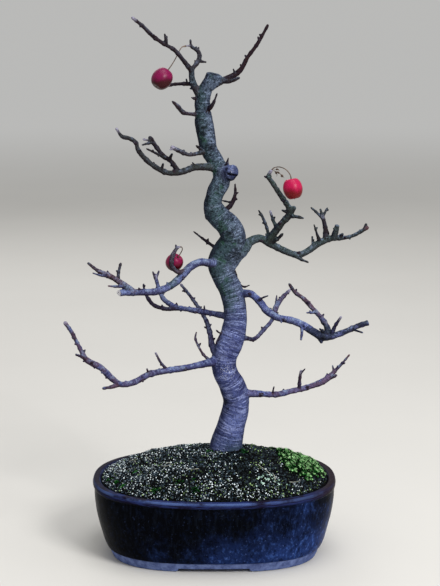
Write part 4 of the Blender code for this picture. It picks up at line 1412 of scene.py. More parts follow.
LIMBS: dict[str, dict[str, tuple[Station, ...]]] = {group: woods(rows) for group, rows in {
    "lower_left_limb": """
    lower left limb: 11 -7 201 13, 0 -13 199 10, -11 -20 198 7, -29 -28 196 6.5, -48 -36 195 6,
        -64 -43 193 6.5, -77 -48 187 6, -90 -51 185 5.5, -99 -52 191 6, -110 -49 201 6.3, -125 -42 208 5.5,
        -133 -32 219 3.8, -141 -22 231 3.7, -148 -12 238 4.2;
    bud: -64 -43 193.5 3.2, -65.5 -46 199.5 1.8;
    lower left riser: -46 -35 196 3.4, -52 -40 204 2.6, -57 -44 215 2.2;
    stub: -93 -51 185 5, -100 -57 184 3.8, -107 -62 184 2.6;
    spur: -124 -43 208 4, -130 -50 213 2.6, -134 -54 216 1.8;
    climber: -2 -14 199 3.8, -10 -8 204 2.8, -16 0 212 2.6, -19 5 219 2.4, -18 8 224 1.6
    """,
    "lower_right_limb": """
    lower right limb: 22 0 164 12, 33 -1 163 8.5, 46 1 162 6.6, 63 6 160 6, 79 12 162 5.6, 94 18 164 5.6,
        109 23 168 6.2, 118 26 173 5.7, 124 28 179 4, 132 30 187 2.7, 139 32 195 2;
    thin spur: 59 4 161 2.8, 60.5 0 169.5 1.6;
    lower right riser: 87 15 163 3.8, 87 10 174 3.4, 88 7 184 3;
    riser tip: 87.5 8 181 2.4, 92 5 187 1.6;
    spur: 123 28 178 2.8, 122 31 184 1.5;
    stub: 117 26 171 4.2, 125 22 176 2.8
    """,
    "right_middle_limb": """
    right middle limb: 18 5 262 12, 29 0 265.5 8.6, 37 -6 266 7.2, 45 -12 260 7, 52 -18 252 7.2,
        63 -24 246 7, 77 -29 244 7, 88 -33 240 7.5, 98 -36 234 8, 107 -38 230 8.6, 117 -38 231 7,
        129 -37 235 5.5, 141 -35 240 5.3, 151 -34 243 5.3;
    right middle riser: 111 -38 231 7.4, 111 -34 238 6, 105 -28 247 5, 98 -22 254 4.5, 89 -15 263 4.2,
        80 -9 269 3.8, 75 -5 276 2.7;
    riser spur: 101 -24 251 3.2, 91 -29 252 1.6;
    right middle finger: 115 -38 232 4.6, 118 -44 242 3.5, 123 -50 252 2.6;
    drop: 86 -33 241 4.4, 86 -38 235 3, 85 -42 228 2.2;
    root spur: 43 -12 260 3.2, 48 -19 265 2.2, 53 -24 268 1.6;
    tip spur: 135 -36 237 3, 145 -43 235 1.6;
    elbow spur: 109 -38 233 3.6, 103 -44 239 2;
    elbow: 104 -37 229 7, 105 -39 225 4
    """,
    "back_limbs": """
    back right limb: 18 -2 222 8, 32 9 218 5.3, 41 19 215 4.4, 51 32 222 4.2, 60 44 230 4, 64 55 240 5.4,
        70 63 248 5, 79 70 256 3.2;
    spur: 64 57 242 2.8, 65 60 252 1.6;
    back left limb: 6 -7 200 10, -2 8 210 6.7, -4 20 219 5.4, -8 34 230 4.5, -16 48 241 4, -25 62 251 3.5,
        -35 74 261 2.8;
    left behind limb: 18 2 241 9, 7 8 242 6.4, -8 17 243 5.8, -25 26 244 5.3, -39 34 245 5.1, -51 40 251 4.9,
        -56 43 259 4.3, -59 45 269 3.9, -61 45 276 3.9;
    prong: -61 45 273 3, -63 43 280 1.7;
    other prong: -60 45.5 272 3.1, -57 48 280 1.7;
    left behind low finger: -35 32 244 4.8, -50 35 243 4.3, -62 39 246 4.1, -68 43 252 3.9, -72 46 260 3.1,
        -73 48 266 2;
    bud: -10 18 244 2.8, -10 15 250 1.6
    """,
    "left_front_limb": """
    left front limb: 8 6 297 12, -3 -2 297 8.6, -14 -10 299 7.6, -24 -17 295 7.7, -32 -23 287 7.7,
        -42 -28 279 7.3, -56 -33 274 7, -72 -37 274 6.6, -92 -41 274 6.2;
    left front fork: -77 -38 274 6.4, -86 -38 280 6.6, -96 -37 287 5.4, -104 -36 291 5.3, -113 -35 295 3.8,
        -122 -34 302 2.6;
    low finger: -102 -36 290 3.6, -109 -40 291 2.4, -117 -43 294 1.5;
    left front red finger: -87 -38 280 4, -96 -44 281 2.6, -102 -47 282 1.5;
    left front riser: -93 -37 284 4, -93 -33 292 3.5, -91 -30 301 2.4;
    left front fruit twig: -26 -18 293 5, -35 -26 292 4.4, -41 -29 298 4.4, -41 -30 306 4.4, -38.7 -28 312 4,
        -36 -25.6 315.8 2.9, -33.5 -23.8 316.6 2.1
    """,
    "right_upper_limb": """
    right upper limb: 13 7 290 15, 20 6 300 13.5, 28 6 308 12, 36 7 317 9.4, 46 9 320 8, 55 11 315 7.6,
        70 14 307 6.8, 84 17 302 6.4, 95 19 306 6.7, 105 21 313 7.1, 118 22 318 6.1, 132 21 319 4.2,
        141 18 322 3.8, 153 14 330 4.2;
    tip bud: 150 15 328 3.2, 152 15 333 2.2;
    right upper riser: 53 11 316 9.4, 61 4 328 7.4, 67 -3 337 6.5, 75 -9 348 6.5, 72 -13 356 5.7,
        64 -18 368 5.1, 57 -22 379 4.7, 53 -24 385 4.6, 54 -24.6 389 3.6, 55.8 -25.3 391.6 2.8;
    inner twig: 55 11 318 4.6, 53 16 329 3.4, 49 20 339 2.8, 45 23 346 1.7;
    right upper riser twig: 63 1 331 4.8, 59 6 338 3.4, 56 10 347 2.6;
    riser bud: 74 -8.5 348 4.2, 67 -12 351 2.2;
    riser knob: 74.5 -7.5 346.5 6, 78 -12 353 5.5;
    riser spur: 73.5 -7 344.5 5, 80 -13 345 3.7, 87 -17 344 2.2;
    front spur: 57 11 315 4.8, 64 4 321 3.6, 68 -1 326 2.2;
    dead twig: 78 16 304 4.6, 86 11 299 3.2, 94 8 296 1.8;
    thin bud: 100 20 309 3.6, 99 26 319 2;
    thin twig: 107 21 314 4.2, 104 17 321 3, 100 13 333 1.8;
    right upper trident: 113 22 316 8, 113 27 323 6, 112 33 330 4.5, 110 38 339 4.2;
    trident left: 110.5 36 336 3.6, 104 42 342 2.7, 99 46 346 1.8;
    trident middle: 110 37.5 337.5 3.4, 108 39 345 2.4;
    trident right: 110 36.5 338 3.3, 115 42 346 1.8;
    right upper cut stub: 120 22 317 7.2, 122 19 325 5.9, 123.5 17 332 5;
    side bud: 126 22 318 4.6, 129 18 323 2.6
    """,
    "left_upper_limb": """
    left upper limb: 5 1 392 11, -8 -5 393 7.4, -19 -11 393 6.4, -33 -17 389 5.8, -45 -22 389 5.6,
        -58 -26 396 5, -67 -28 404 4.6, -73 -29 412 4.6, -75 -30 419 4.3, -81 -31 423 4, -88 -32 425 3.6,
        -93 -32 432 2.1;
    left upper fork: -35 -17 390 5.6, -42 -10 399 4.7, -50 -3 404 4.3, -57 4 412 4.5, -63 10 420 4.3;
    long finger: -47 -6 401 3.6, -56 -14 407 2.6, -65 -20 412 1.5;
    left upper pale finger: -61 8 417 3.2, -69 5 419 1.9;
    low finger: -60 7 416 3.2, -66 3 415 2.6, -70 0 414 1.9;
    bud: -44 -8 400 4, -41 -12 406 2.4;
    outer bud: -51 -24 391 3.7, -49 -28 398 2.3;
    thin bud: -17 -10 393 2.8, -21 -13 398 1.5;
    left clubbed twig: -6 3 408 6, -18 -9 406 3.8, -25 -16 406 3.5, -33 -22 410 4.6, -40 -27 414 4.4;
    left clubbed finger: -38 -26 413 2.6, -42 -29 412 1.6;
    left clubbed bud: -12 -2 409 3.8, -17 -10 414 2
    """,
    "trunk_twigs": """
    wound knob: 4 1 385 15, 13 -8 387 15, 18.6 -13.5 387.6 15.6;
    wound twig: 11 -5 391 3.6, 13 -8 398 2.6, 14 -10 402 1.7;
    right slim twig: 1 0 350 7.5, 12 6 350 5, 18 11 355 4.4, 21 16 364 3.4, 21 20 373 2.2;
    right slim spur: 17 11 356 2.8, 8 16 357 1.6;
    left slim twig: 10 7 306 5.4, -2 15 312 3.6, -12 23 318 2.8, -21 30 324 1.6;
    hooked twig: 13 9 296 7, 21 18 283 3.8, 23.5 23 273.5 3, 30 27 267.5 2.5, 36 30 268.5 1.6;
    front hook: 14 -3 224 3.4, 6 -13 228 2.2, 2 -18 232 1.6;
    front spur: 12 -4 222 4.2, 4 -14 222 2.4, 2 -18 217 1.7;
    upper left twig: -12 9 443 5.6, -22 2 444 3.8, -30 -4 446 4.6, -35 -8 452 4.6, -40 -12 457 2.3;
    upper front twig: -7 6 446 5, -1 -2 454 3.5, 3 -6 464 1.7;
    upper left bud: -14 8 457 4.4, -22 3 460 1.9;
    scarred bump: -4 4 344 12, -7 -1 347 6
    """,
    "crown": """
    left leader: -10 9 458 11, -17 7 467 7.5, -21 4 476 6.1, -22 1 488 5.2;
    left leader arm: -22 1 486 5.2, -28 -2 494 4.4, -38 -7 506 3.9, -48 -11 512 4, -58 -15 519 3.8,
        -68 -19 529 3.7, -77 -23 536.4 3.3;
    spur: -46 -10 511 4, -46 -13 517 3.3, -47 -15 521 1.7;
    other spur: -46 -11 513 2.8, -45 -9 519 1.6;
    middle arm: -22 1 487 5, -16 5 494 4.7, -14 9 500 4.3, -16 11 505 4.1, -22 12 509 3.3, -23 12 515 1.7;
    middle arm spur: -15 6 495 3.4, -8 10 494 2;
    bud: -16 10 504 3.2, -15 14 508 2;
    middle arm fruit spur: -20 12 508 2.9, -24 10.8 509.6 2.1, -27 9.5 509.6 1.9;
    left short twig: -20 5 473 5, -31 10 473 3.6, -41 15 472 3.3, -46 18 470 2.1;
    left short bud: -26 7 473 3, -27 4 478 1.6;
    right leader: -5 7 471 11, 5 11 475 7.8, 16 15 479 6, 26 19 486 4.9, 33 23 498 4, 42 27 510 3.8,
        48 30 520 3.3, 53 32 529 2.8;
    stub: 7 11 475 5.2, 17 6 476 3.8, 24 2 479 3.2;
    right leader bud: 21 17 482 3.2, 19 14 487 1.6
    """,
}.items()}

ENDS = {name: end for end, names in {
    End.CUT: "trunk, cut top, right middle limb, right upper cut stub, wound knob",
    End.SAWN: "left front limb",
    End.PALE: "left front fruit twig, right upper riser, middle arm fruit spur, lower left limb, "
        "lower left riser, lower right riser, left clubbed twig, left clubbed finger, "
        "left upper pale finger, right upper trident, right middle finger, left behind limb, "
        "back left limb, back right limb, left leader arm, left short twig, right upper riser twig, "
        "left upper limb",
    End.RED: "lower right limb, left front red finger, right upper limb",
}.items() for name in names.split(", ")}


@dataclass(frozen=True)
class Mood:
    """Colouring of a length of wood: how olive, brown where thin, dark, red towards its end, and blue."""

    olive: float = 0.0
    brown: float = 0.0
    dusk: float = 0.0
    aged: float = 0.0
    cool: float = 0.0


MOODS: dict[str, Mood] = {
    "trunk": Mood(), "wound knob": Mood(), "trunk_twigs": Mood(0.3, 0.9, 0.25, 0.4),
    "right slim twig": Mood(0.5, 0.9, 0.8, 0.3), "hooked twig": Mood(0.1, 0.9, 0.85, 0.3),
    "upper left twig": Mood(0.4, 0.6, 0.2, 0.5), "crown": Mood(0.5, 0.7, 0.2, 0.25),
    "left leader": Mood(0.4, 0.2), "left leader arm": Mood(0.4, 0.7, 0.5, 0.4),
    "left short twig": Mood(0.5, 0.8, 0.5, 0.5), "right leader": Mood(0.3, 0.9, 0.88, 0.3),
    "lower_left_limb": Mood(0, 0.25, 0.05, 0.9), "lower_right_limb": Mood(aged=0.8),
    "right_middle_limb": Mood(aged=0.1, cool=0.95), "right middle riser": Mood(0.1, 0, 0.15, 0.9),
    "back_limbs": Mood(0.05, 0.4, 0.1, 0.55, 0.6), "left behind low finger": Mood(0, 0.5, 0.6, 0.2),
    "left behind limb": Mood(0, 0.3, 0, 0.1, 0.95),
    "left_front_limb": Mood(aged=0.12, cool=0.75), "left front fork": Mood(0.1, 0.3, 0, 0.8),
    "left front fruit twig": Mood(0.3, 0.5, 0.1, 0.6), "left front riser": Mood(0.3, 0.8, 0, 0.4),
    "right_upper_limb": Mood(0.75, 0.3, 0.12), "right upper riser": Mood(0.95, 0.1, 0, 0.1),
    "right upper trident": Mood(0.8, 0.5, 0.85), "left_upper_limb": Mood(0.8, 0.6, 0.3, 0.1),
    "left upper fork": Mood(0.6, 0.8, 0.65, 0.1), "left clubbed twig": Mood(0.4, 0.4, 0.1, 0.3),
}


@dataclass(frozen=True)
class Scar:
    """A healed wound on the bark: a raised lip round a bowl, or round a crease from one point to another. Its
    dark share paints the bowl near black: the wound's dark wood together with painted shade in the hollow.
    """

    middle: Point
    radius: float
    depth: float
    lip: float
    dark: float
    other: Point | None = None

    def away(self, places: np.ndarray) -> np.ndarray:
        """How far places in mm, one a row, lie from the bowl or crease, in its radii.

        Args:
            places: The places.

        Returns:
            A distance for each place.
        """
        start = np.array(self.middle)
        reach = np.array(self.other or self.middle) - start
        share = np.clip((places - start) @ reach / max(reach @ reach, 1e-9), 0, 1)
        return np.linalg.norm(places - start - share[:, None] * reach, axis=1) / self.radius


@dataclass
class Wood:
    """One length of wood: its fine route, its knots, its end, and its number, which sets its grain apart."""

    name: str
    stations: tuple[Station, ...]
    order: int
    step: float = 1.0
    knot_gap: Pair = (5, 12)
    knot_swell: Pair = (0.35, 1)
    knot_width: float = 1.0
    cut_slant: float = 0.75

    def __post_init__(self) -> None:
        """Draws the route and the knots, and looks up how the wood ends."""
        self.route = Route(self.stations, self.step)
        self.end = ENDS.get(self.name, End.ROUND)
        draw = random.Random(SEED * 1000 + self.order)
        self.knots: list[Pair] = []
        run = draw.uniform(*self.knot_gap)
        while self.order and run < self.route.runs[-1]:
            self.knots.append((run, draw.uniform(*self.knot_swell)))
            run += draw.uniform(*self.knot_gap)

    def sides(self) -> int:
        """How many sides the wood is drawn with before it is joined."""
        return max(12, int(max(station[3] for station in self.stations) * 2.4))

    def swell(self, run: float, thickness: float) -> float:
        """What old leaf scars and the rings of bud scales add to a twig's thickness at a run along it.

        Args:
            run: Distance along the wood, in mm.
            thickness: Its thickness there, in mm.

        Returns:
            The addition, in mm.
        """
        rise = sum(size * math.exp(-((run - place) / self.knot_width) ** 2) for place, size in self.knots)
        uneven = noise.noise(Vector((run / 4, self.order * 3.7, 0.5))) * 0.16 * thickness
        return (rise + uneven) * ease(thickness, 9, 5.5) * ease(thickness, 0.9, 2.4)

    def shape(self, change: Callable[[float], float] | None = None, stop: float = math.inf) -> Shape:
        """Lofts the wood with its end.

        Args:
            change: What is added to the thickness at a run along the wood, in mm.
            stop: Where along the wood it is broken off, in mm.

        Returns:
            Its closed shape.
        """
        route, sides = self.route, self.sides()
        rings = []
        last, thickness = 0, 0
        for i, point in enumerate(route.points):
            if route.runs[i] > stop:
                break
            extra = change(route.runs[i]) if change else 0
            thickness = max(point.w + self.swell(route.runs[i], point.w) + extra, 0.4)
            rings.append(route.ring(i, sides, thickness))
            last = i
        if self.end in (End.CUT, End.SAWN):
            slant = self.cut_slant if self.end is End.SAWN else 0
            middle = route.points[last].xyz * MM
            flat = []
            for point in route.ring(last, sides, thickness * 0.9, 0.3):
                flat.append(point + route.headings[last] * ((point.y - middle.y) * slant))
            rings.append(flat)
        else:
            for turn in (0.45, 0.85, 1.2, 1.45):
                ahead = thickness / 2 * math.sin(turn)
                rings.append(route.ring(last, sides, thickness * math.cos(turn), ahead))
        return loft(rings)

    def spurs(self) -> list[Shape]:
        """Short blunt stubs on the knots of thin wood, more of them towards its tip.

        Returns:
            Their closed shapes.
        """
        draw = random.Random(SEED * 2000 + self.order)
        shapes = []
        for run, _ in self.knots:
            turn, chance, length = draw.uniform(0, math.tau), draw.random(), draw.uniform(0.9, 2.3)
            i = min(range(len(self.route.points)), key=lambda index: abs(self.route.runs[index] - run))
            thickness = self.route.points[i].w
            share = run / self.route.runs[-1]
            if thickness > 7.5 or chance > 0.22 + 0.45 * share or self.route.runs[-1] - run < 2:
                continue
            outward = self.route.spoke(i, turn)
            heading = (outward + self.route.headings[i] * 0.5).normalized()
            foot = self.route.points[i].xyz + outward * thickness * 0.3
            stations = []
            for place, width in ((0, 2.3), (0.55, 2), (0.85, 1.9), (1, 1)):
                stations.append((*(foot + heading * place * (length + thickness * 0.2)), width))
            shapes.append(Route(stations, 0.6).tube(9))
        return shapes


@dataclass
class Bud:
    """A small pointed winter bud, its root sunk in the wood."""

    foot: Vector
    heading: Vector
    length: float = 3.6
    thickness: float = 2.3
    sink: float = 1.2

    def route(self) -> Route:
        """Stations from the sunk root over the belly to the tip.

        Returns:
            Its route.
        """
        profile = ((-self.sink, 0.9), (0.1, 0.98), (0.25, 1.05), (0.5, 0.95), (0.75, 0.66), (0.95, 0.3))
        stations = []
        for place, width in profile:
            ahead = place if place < 0 else place * self.length
            stations.append((*(self.foot + self.heading * ahead), width * self.thickness))
        return Route(stations, 0.6)

    def shape(self) -> Shape:
        """Lofts the bud."""
        return self.route().tube(10)


@dataclass
class BudRow:
    """Where buds sit along a limb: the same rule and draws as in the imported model."""

    step: float = 6.5
    growth: float = 0.36
    spacing: float = 19.0
    minimum_run: float = 34.0
    thickest_wood: float = 9.0
    seat: float = 0.42

    def along(self, stations: Sequence[Station], draw: Draw) -> list[Bud]:
        """The buds of one limb.

        Args:
            stations: The limb's stations.
            draw: Source of their places and directions.

        Returns:
            Its buds, from the foot of the limb outward.
        """
        route = Route(stations, self.step, self.growth)
        if route.runs[-1] <= self.minimum_run:
            return []
        buds = []
        due = self.spacing * draw.uniform(0.9, 1.3)
        side = 1
        for i in range(1, len(route.points) - 1):
            if route.runs[i] < due or route.points[i].w > self.thickest_wood:
                continue
            due = route.runs[i] + self.spacing * draw.uniform(0.8, 1.3)
            across = route.headings[i].cross(Vector((0, draw.uniform(-0.7, 0.7), 1))).normalized()
            upward = across.cross(route.headings[i]).normalized()
            outward = (across * side + upward * draw.uniform(-0.3, 0.9)).normalized()
            side = -side
            heading = (outward + route.headings[i] * draw.uniform(0.5, 0.9)).normalized()
            buds.append(Bud(route.points[i].xyz + outward * route.points[i].w * self.seat, heading))
        return buds


class WoodMap:
    """Tells any point of the bark where it lies on its wood."""

    LEVELS = ("girth", "left", "bud", "pale", "red", "sawn", "olive", "brown", "dusk", "aged", "cool")

    def __init__(self) -> None:
        """Starts with no wood."""
        self.places: list[Vector] = []
        self.owners: list[int] = []
        self.rows: list[tuple[float, ...]] = []

    def add(self, route: Route, offset: float, end: End, mood: Mood, is_bud: bool = False) -> None:
        """Adds the surface of one length of wood.

        Args:
            route: Its route.
            offset: What its runs gain, to set its grain apart.
            end: How it ends.
            mood: Its colouring.
            is_bud: Whether it is a bud.
        """
        for i, point in enumerate(route.points):
            owner = len(self.rows)
            left = route.runs[-1] - route.runs[i]
            axes = (*point.xyz, *route.headings[i], *route.sides[i], *route.others[i])
            ends = [float(end is kind) for kind in (End.PALE, End.RED, End.SAWN)]
            levels = (route.runs[i] + offset, point.w, left, float(is_bud), *ends, *astuple(mood))
            self.rows.append(axes + levels)
            count = max(8, int(point.w * 1.2))
            for place in route.ring(i, count, point.w):
                self.places.append(place)
                self.owners.append(owner)
            if i == len(route.points) - 1:
                self.places.append((point.xyz + route.headings[i] * point.w / 2) * MM)
                self.owners.append(owner)

    def read(self, points: np.ndarray) -> dict[str, np.ndarray]:
        """Reads the wood at many points.

        Args:
            points: Their places in metres, one a row.

        Returns:
            Each point's grain (across, across the other way and along, in mm), heading and LEVELS: girth,
            distance left to the end of its wood, whether it is a bud, its kind of end, and its mood.
        """
        search = KDTree(len(self.places))
        for i, place in enumerate(self.places):
            search.insert(place, i)
        search.balance()
        nearest = [search.find(point)[1] for point in points]
        found = np.array(self.rows)[np.array(self.owners)[nearest]]
        away = points / MM - found[:, 0:3]
        along, side, other = ((away * found[:, first:first + 3]).sum(axis=1) for first in (3, 6, 9))
        levels = dict(zip(self.LEVELS, found[:, 13:].T))
        levels["left"] = levels["left"] - along
        levels["heading"] = found[:, 3:6]
        levels["grain"] = np.stack([side, other, along + found[:, 12]], axis=1)
        return levels


@dataclass
class Tree:
    """The whole tree: a trunk with the twigs that start on it, and its limbs, each dressed as one piece."""

    mound: Mound
    trunk_voxel: float = 0.80
    limb_voxel: float = 0.54
    collar_start: float = 13.0
    collar_end: float = 30.0
    collar_proud: float = 0.25
    collar_sunk: float = 1.1
    grain_shift: float = 131.0
    top_shift: float = 60.0
    bud_shift: float = 7.0
    stains: tuple[Spot, ...] = (
        ((16, -9, 331), 10, 0.55), ((2, -4, 312), 9, 0.55), ((-2, -9, 352), 11, 0.55),
        ((22, -4, 322), 9, 0.6), ((26, -3, 238), 8, 0.45), ((4, -14, 207), 8, 0.5),
        ((9, -7, 157), 14, 0.7), ((21, -4, 303), 13, 0.85), ((-8, 0, 300), 10, 0.7),
        ((0, -3, 286), 10, 0.5), ((13, -16, 379), 7, 1), ((-1, 6, 484), 9, 0.5),
        ((103, -38, 231), 17, 1.4), ((126, -37, 238), 16, 0.9), ((142, -35, 241), 16, 0.85),
        ((-6, -2, 411), 15, 0.7), ((-12, 0, 431), 15, 0.65), ((3, -9, 372), 9, 0.55),
        ((-96, -34, 285), 11, 0.7), ((-15, 2, 450), 12, 0.6), ((8, -4, 338), 9, 0.5),
        ((-7, -5, 362), 9, 0.6), ((16, -12, 262), 8, 0.35), ((12, 0, 124), 10, 0.4),
    )
    dotted: tuple[Spot, ...] = (((13.5, -17, 190), 10, 0.9), ((17, -15, 389), 3.5, 0.8))
    knob: Point = (17, -12, 388)
    top_stations: tuple[Station, ...] = ((-5, 7.5, 470, 12.5), (-1, 7, 476.5, 14), (0.5, 6.5, 482, 15))
    # The rows at heights 380 to 384 darken the underside of the wound knob: painted shade under its overhang,
    # over shallow hollows.
    scars: tuple[Scar, ...] = (
        Scar((13.5, -18.7, 387.8), 1.7, 1.7, 0.3, 1, (16.6, -15.5, 386.7)),
        Scar((16.6, -15.5, 386.7), 1.5, 1.7, 0.3, 1, (22.5, -9.6, 385.1)),
        Scar((20.7, -11.4, 382.2), 2.5, 1.5, 0, 1, (23.4, -8.6, 382.8)),
        Scar((13.4, -17.8, 380.6), 2.5, 0.9, 0, 1, (18.5, -13, 380)),
        Scar((14.4, -17.6, 383.7), 2.6, 0.2, 0, 0.5, (18.6, -13.4, 383.3)),
        Scar((11.7, -15.4, 391.8), 2.4, 1.3, 0.3, 0.75),
        Scar((0.9, 5, 483.2), 6.4, 1.4, 0.5, 0.85),
        Scar((-2.5, -2.5, 410), 4.2, 0.9, 0.8, 0.55),
        Scar((-11, -0.5, 424), 3.6, 0.8, 0.7, 0.5),
        Scar((14.5, -8.5, 325), 5, 0.5, 0.9, 0.25),
        Scar((9, -16.5, 196), 3.6, 0.5, 0.5, 0.35),
        Scar((24.5, -10, 262), 3.4, 0.4, 0.6, 0.3),
        Scar((-10.6, -6.3, 345.6), 3, 0.8, 0.5, 0.7),
    )

    def __post_init__(self) -> None:
        """Draws every route and the buds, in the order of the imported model."""
        buried = tuple((*self.mound.trunk, height, 2 * self.mound.trunk_radius) for height in (70, 96))
        self.trunk = Wood("trunk", buried + TRUNK, 0)
        self.top = Wood("cut top", self.top_stations, 0)
        self.groups: dict[str, list[Wood]] = {}
        self.buds: dict[str, list[Bud]] = {}
        draw = random.Random(SEED)
        order = 1
        for group, limbs in LIMBS.items():
            self.groups[group] = []
            self.buds[group] = []
            for name, stations in limbs.items():
                self.groups[group].append(Wood(name, stations, order))
                self.buds[group] += BudRow().along(stations, draw)
                order += 1

    def on_trunk(self, wood: Wood) -> bool:
        """Whether a length of wood starts inside the trunk."""
        start = wood.route.points[0].xyz
        return any((start - point.xyz).length < point.w * 0.45 for point in self.trunk.route.points)

    def collar(self, run: float) -> float:
        """What the trunk's stub of a limb adds to the limb's thickness: proud first, then sunk in it."""
        share = ease(run, self.collar_start, self.collar_end)
        return self.collar_proud - (self.collar_proud + self.collar_sunk) * share

    def remeshed(self, shapes: Sequence[Shape], name: str, voxel: float,
                 passes: int) -> Mesh:
        """Grows overlapping lengths of wood together.

        Args:
            shapes: The lengths.
            name: The mesh's name.
            voxel: How finely they are joined, in mm.
            passes: How often it is smoothed.

        Returns:
            Their one skin.
        """
        raw = linked(name, joined(shapes, name))
        grow = raw.modifiers.new("grow together", "REMESH")
        grow.mode = "VOXEL"
        grow.voxel_size = voxel * MM
        soften = raw.modifiers.new("soften", "SMOOTH")
        soften.factor = 0.5
        soften.iterations = passes
        return evaluated(raw)

    def carve(self, mesh: Mesh, wood_map: WoodMap) -> None:
        """Gives a skin its bark: lumps, folds round the wood, scars, and what its finish reads.

        Args:
            mesh: The skin.
            wood_map: The wood under it.
        """
        count = len(mesh.vertices)
        points = np.empty(count * 3)
        mesh.vertices.foreach_get("co", points)
        points = points.reshape(-1, 3)
        normals = np.empty(count * 3, dtype=np.float32)
        mesh.vertex_normals.foreach_get("vector", normals)
        normals = normals.reshape(-1, 3)
        wood = wood_map.read(points)
        places = points / MM
        shift = np.array([self.relief(Vector(place), Vector(grain), girth) for place, grain, girth
                          in zip(places, wood["grain"], wood["girth"])]) * np.where(wood["bud"], 0.25, 1)
        dark = np.zeros(count)
        for scar in self.scars:
            away = scar.away(places)
            bowl = np.clip(1 - away * away, 0, 1)
            lip = np.exp(-((away - 1.05) / 0.28) ** 2)
            shift += scar.lip * lip - scar.depth * bowl ** 1.5
            # The dark share paints each scar's bowl near black: dark wound wood together with painted shade
            # in the hollow.
            dark = np.maximum(dark, scar.dark * np.clip(bowl * 1.8, 0, 1))
        points += normals * (shift * MM)[:, None]
        mesh.vertices.foreach_set("co", points.astype(np.float32).ravel())
        left = wood.pop("left")
        facing = (normals * wood.pop("heading")).sum(axis=1)
        tip = np.clip(1 - left / 5, 0, 1)
        wood["aged"] = wood["aged"] * np.clip(1.2 - left / 150, 0, 1)
        wood["bud"] = wood["bud"] * 0.7
        wood["pale"] = wood["pale"] * tip * 0.65
        wood["red"] = wood["red"] * tip * 0.6
        wood["sawn"] = wood["sawn"] * np.clip((3.4 - left) / 0.8, 0, 1)
        wood["sawn"] = wood["sawn"] * np.clip((facing - 0.45) / 0.2, 0, 1)
        wood["stain"] = self.spots(places, self.stains)
        wood["dots"] = self.spots(places, self.dotted)
        wood["knob"] = self.spots(places, ((self.knob, 11, 1.5),))
        wood["algae"] = self.algae(points / MM, normals, wood["girth"])
        wood["dark"] = dark
        for name, levels in wood.items():
            set_levels(mesh, name, levels)
        mesh.update()

    def spots(self, places: np.ndarray, rows: Sequence[Spot]) -> np.ndarray:
        """How deep places in mm, one a row, lie in round spots, 0 to 1.

        Args:
            places: The places.
            rows: The spots.

        Returns:
            A level for each place.
        """
        level = np.zeros(len(places))
        for middle, radius, strength in rows:
            away = np.linalg.norm(places - np.array(middle), axis=1) / radius
            level = np.maximum(level, np.minimum(strength * np.clip(1 - away, 0, 1) ** 0.5, 1))
        return level

    def algae(self, places: np.ndarray, normals: np.ndarray, girth: np.ndarray) -> np.ndarray:
        """How green with algae the bark is: most on the left of the middle trunk, none on the knob.

        Args:
            places: Where, in mm, one a row.
            normals: The bark's outward directions there.
            girth: The wood's thickness there, in mm.

        Returns:
            A level for each place, 0 to 1.
        """
        rise = np.interp(places[:, 2], (225, 285, 430, 500), (0, 1, 0.9, 0.55))
        turned = np.clip(0.8 - 0.42 * normals[:, 0], 0, 1)
        slim = np.interp(girth, (6, 11), (0.5, 1))
        away = np.linalg.norm(places - np.array(self.knob), axis=1)
        return rise * turned * slim * np.interp(away, (8, 13), (0, 1))

    @staticmethod
    def relief(place: Vector, grain: Vector, girth: float) -> float:
        """How far the bark stands out from the plain round of wood.

        Args:
            place: The point, in mm.
            grain: Where it lies on its wood, in mm.
            girth: The wood's thickness there, in mm.

        Returns:
            The height, in mm.
        """
        stout = ease(girth, 5, 18)
        lumps = noise.noise(place / (5 + girth * 0.55)) * (0.18 + 0.7 * stout)
        sinews = noise.noise(Vector((grain.x / 5.5, grain.y / 5.5, grain.z / 26))) * 0.45 * stout
        folds = noise.noise(Vector((grain.x / 16, grain.y / 16, grain.z / 3))) * (0.12 + 0.06 * stout)
        wrinkles = noise.noise(Vector((grain.x / 9, grain.y / 9, grain.z / 1.2 + 50))) * 0.08
        grit = noise.noise(place / 1.3) * 0.07
        return lumps + sinews + folds + wrinkles + grit

    def gather(self, wood: Wood, group: str, shapes: list[Shape], wood_map: WoodMap) -> None:
        """Adds a length of wood with its spurs to a group, in its own mood or else the group's."""
        shapes += [wood.shape(), *wood.spurs()]
        wood_map.add(wood.route, wood.order * self.grain_shift, wood.end, MOODS.get(wood.name, MOODS[group]))

    def grow(self, name: str, group: str, shapes: list[Shape], wood_map: WoodMap, material: Material) -> None:
        """Adds a group's buds, grows everything together, carves it and hands it over.

        Args:
            name: The piece's name.
            group: The group whose buds it has.
            shapes: Its lengths of wood.
            wood_map: Their map.
            material: The bark.
        """
        for bud in self.buds[group]:
            shapes.append(bud.shape())
            wood_map.add(bud.route(), self.bud_shift, End.ROUND, MOODS[group], True)
        voxel, passes = (self.trunk_voxel, 4) if name == "trunk" else (self.limb_voxel, 3)
        mesh = self.remeshed(shapes, name, voxel, passes)
        self.carve(mesh, wood_map)
        present(name, mesh, material, ["tree"])

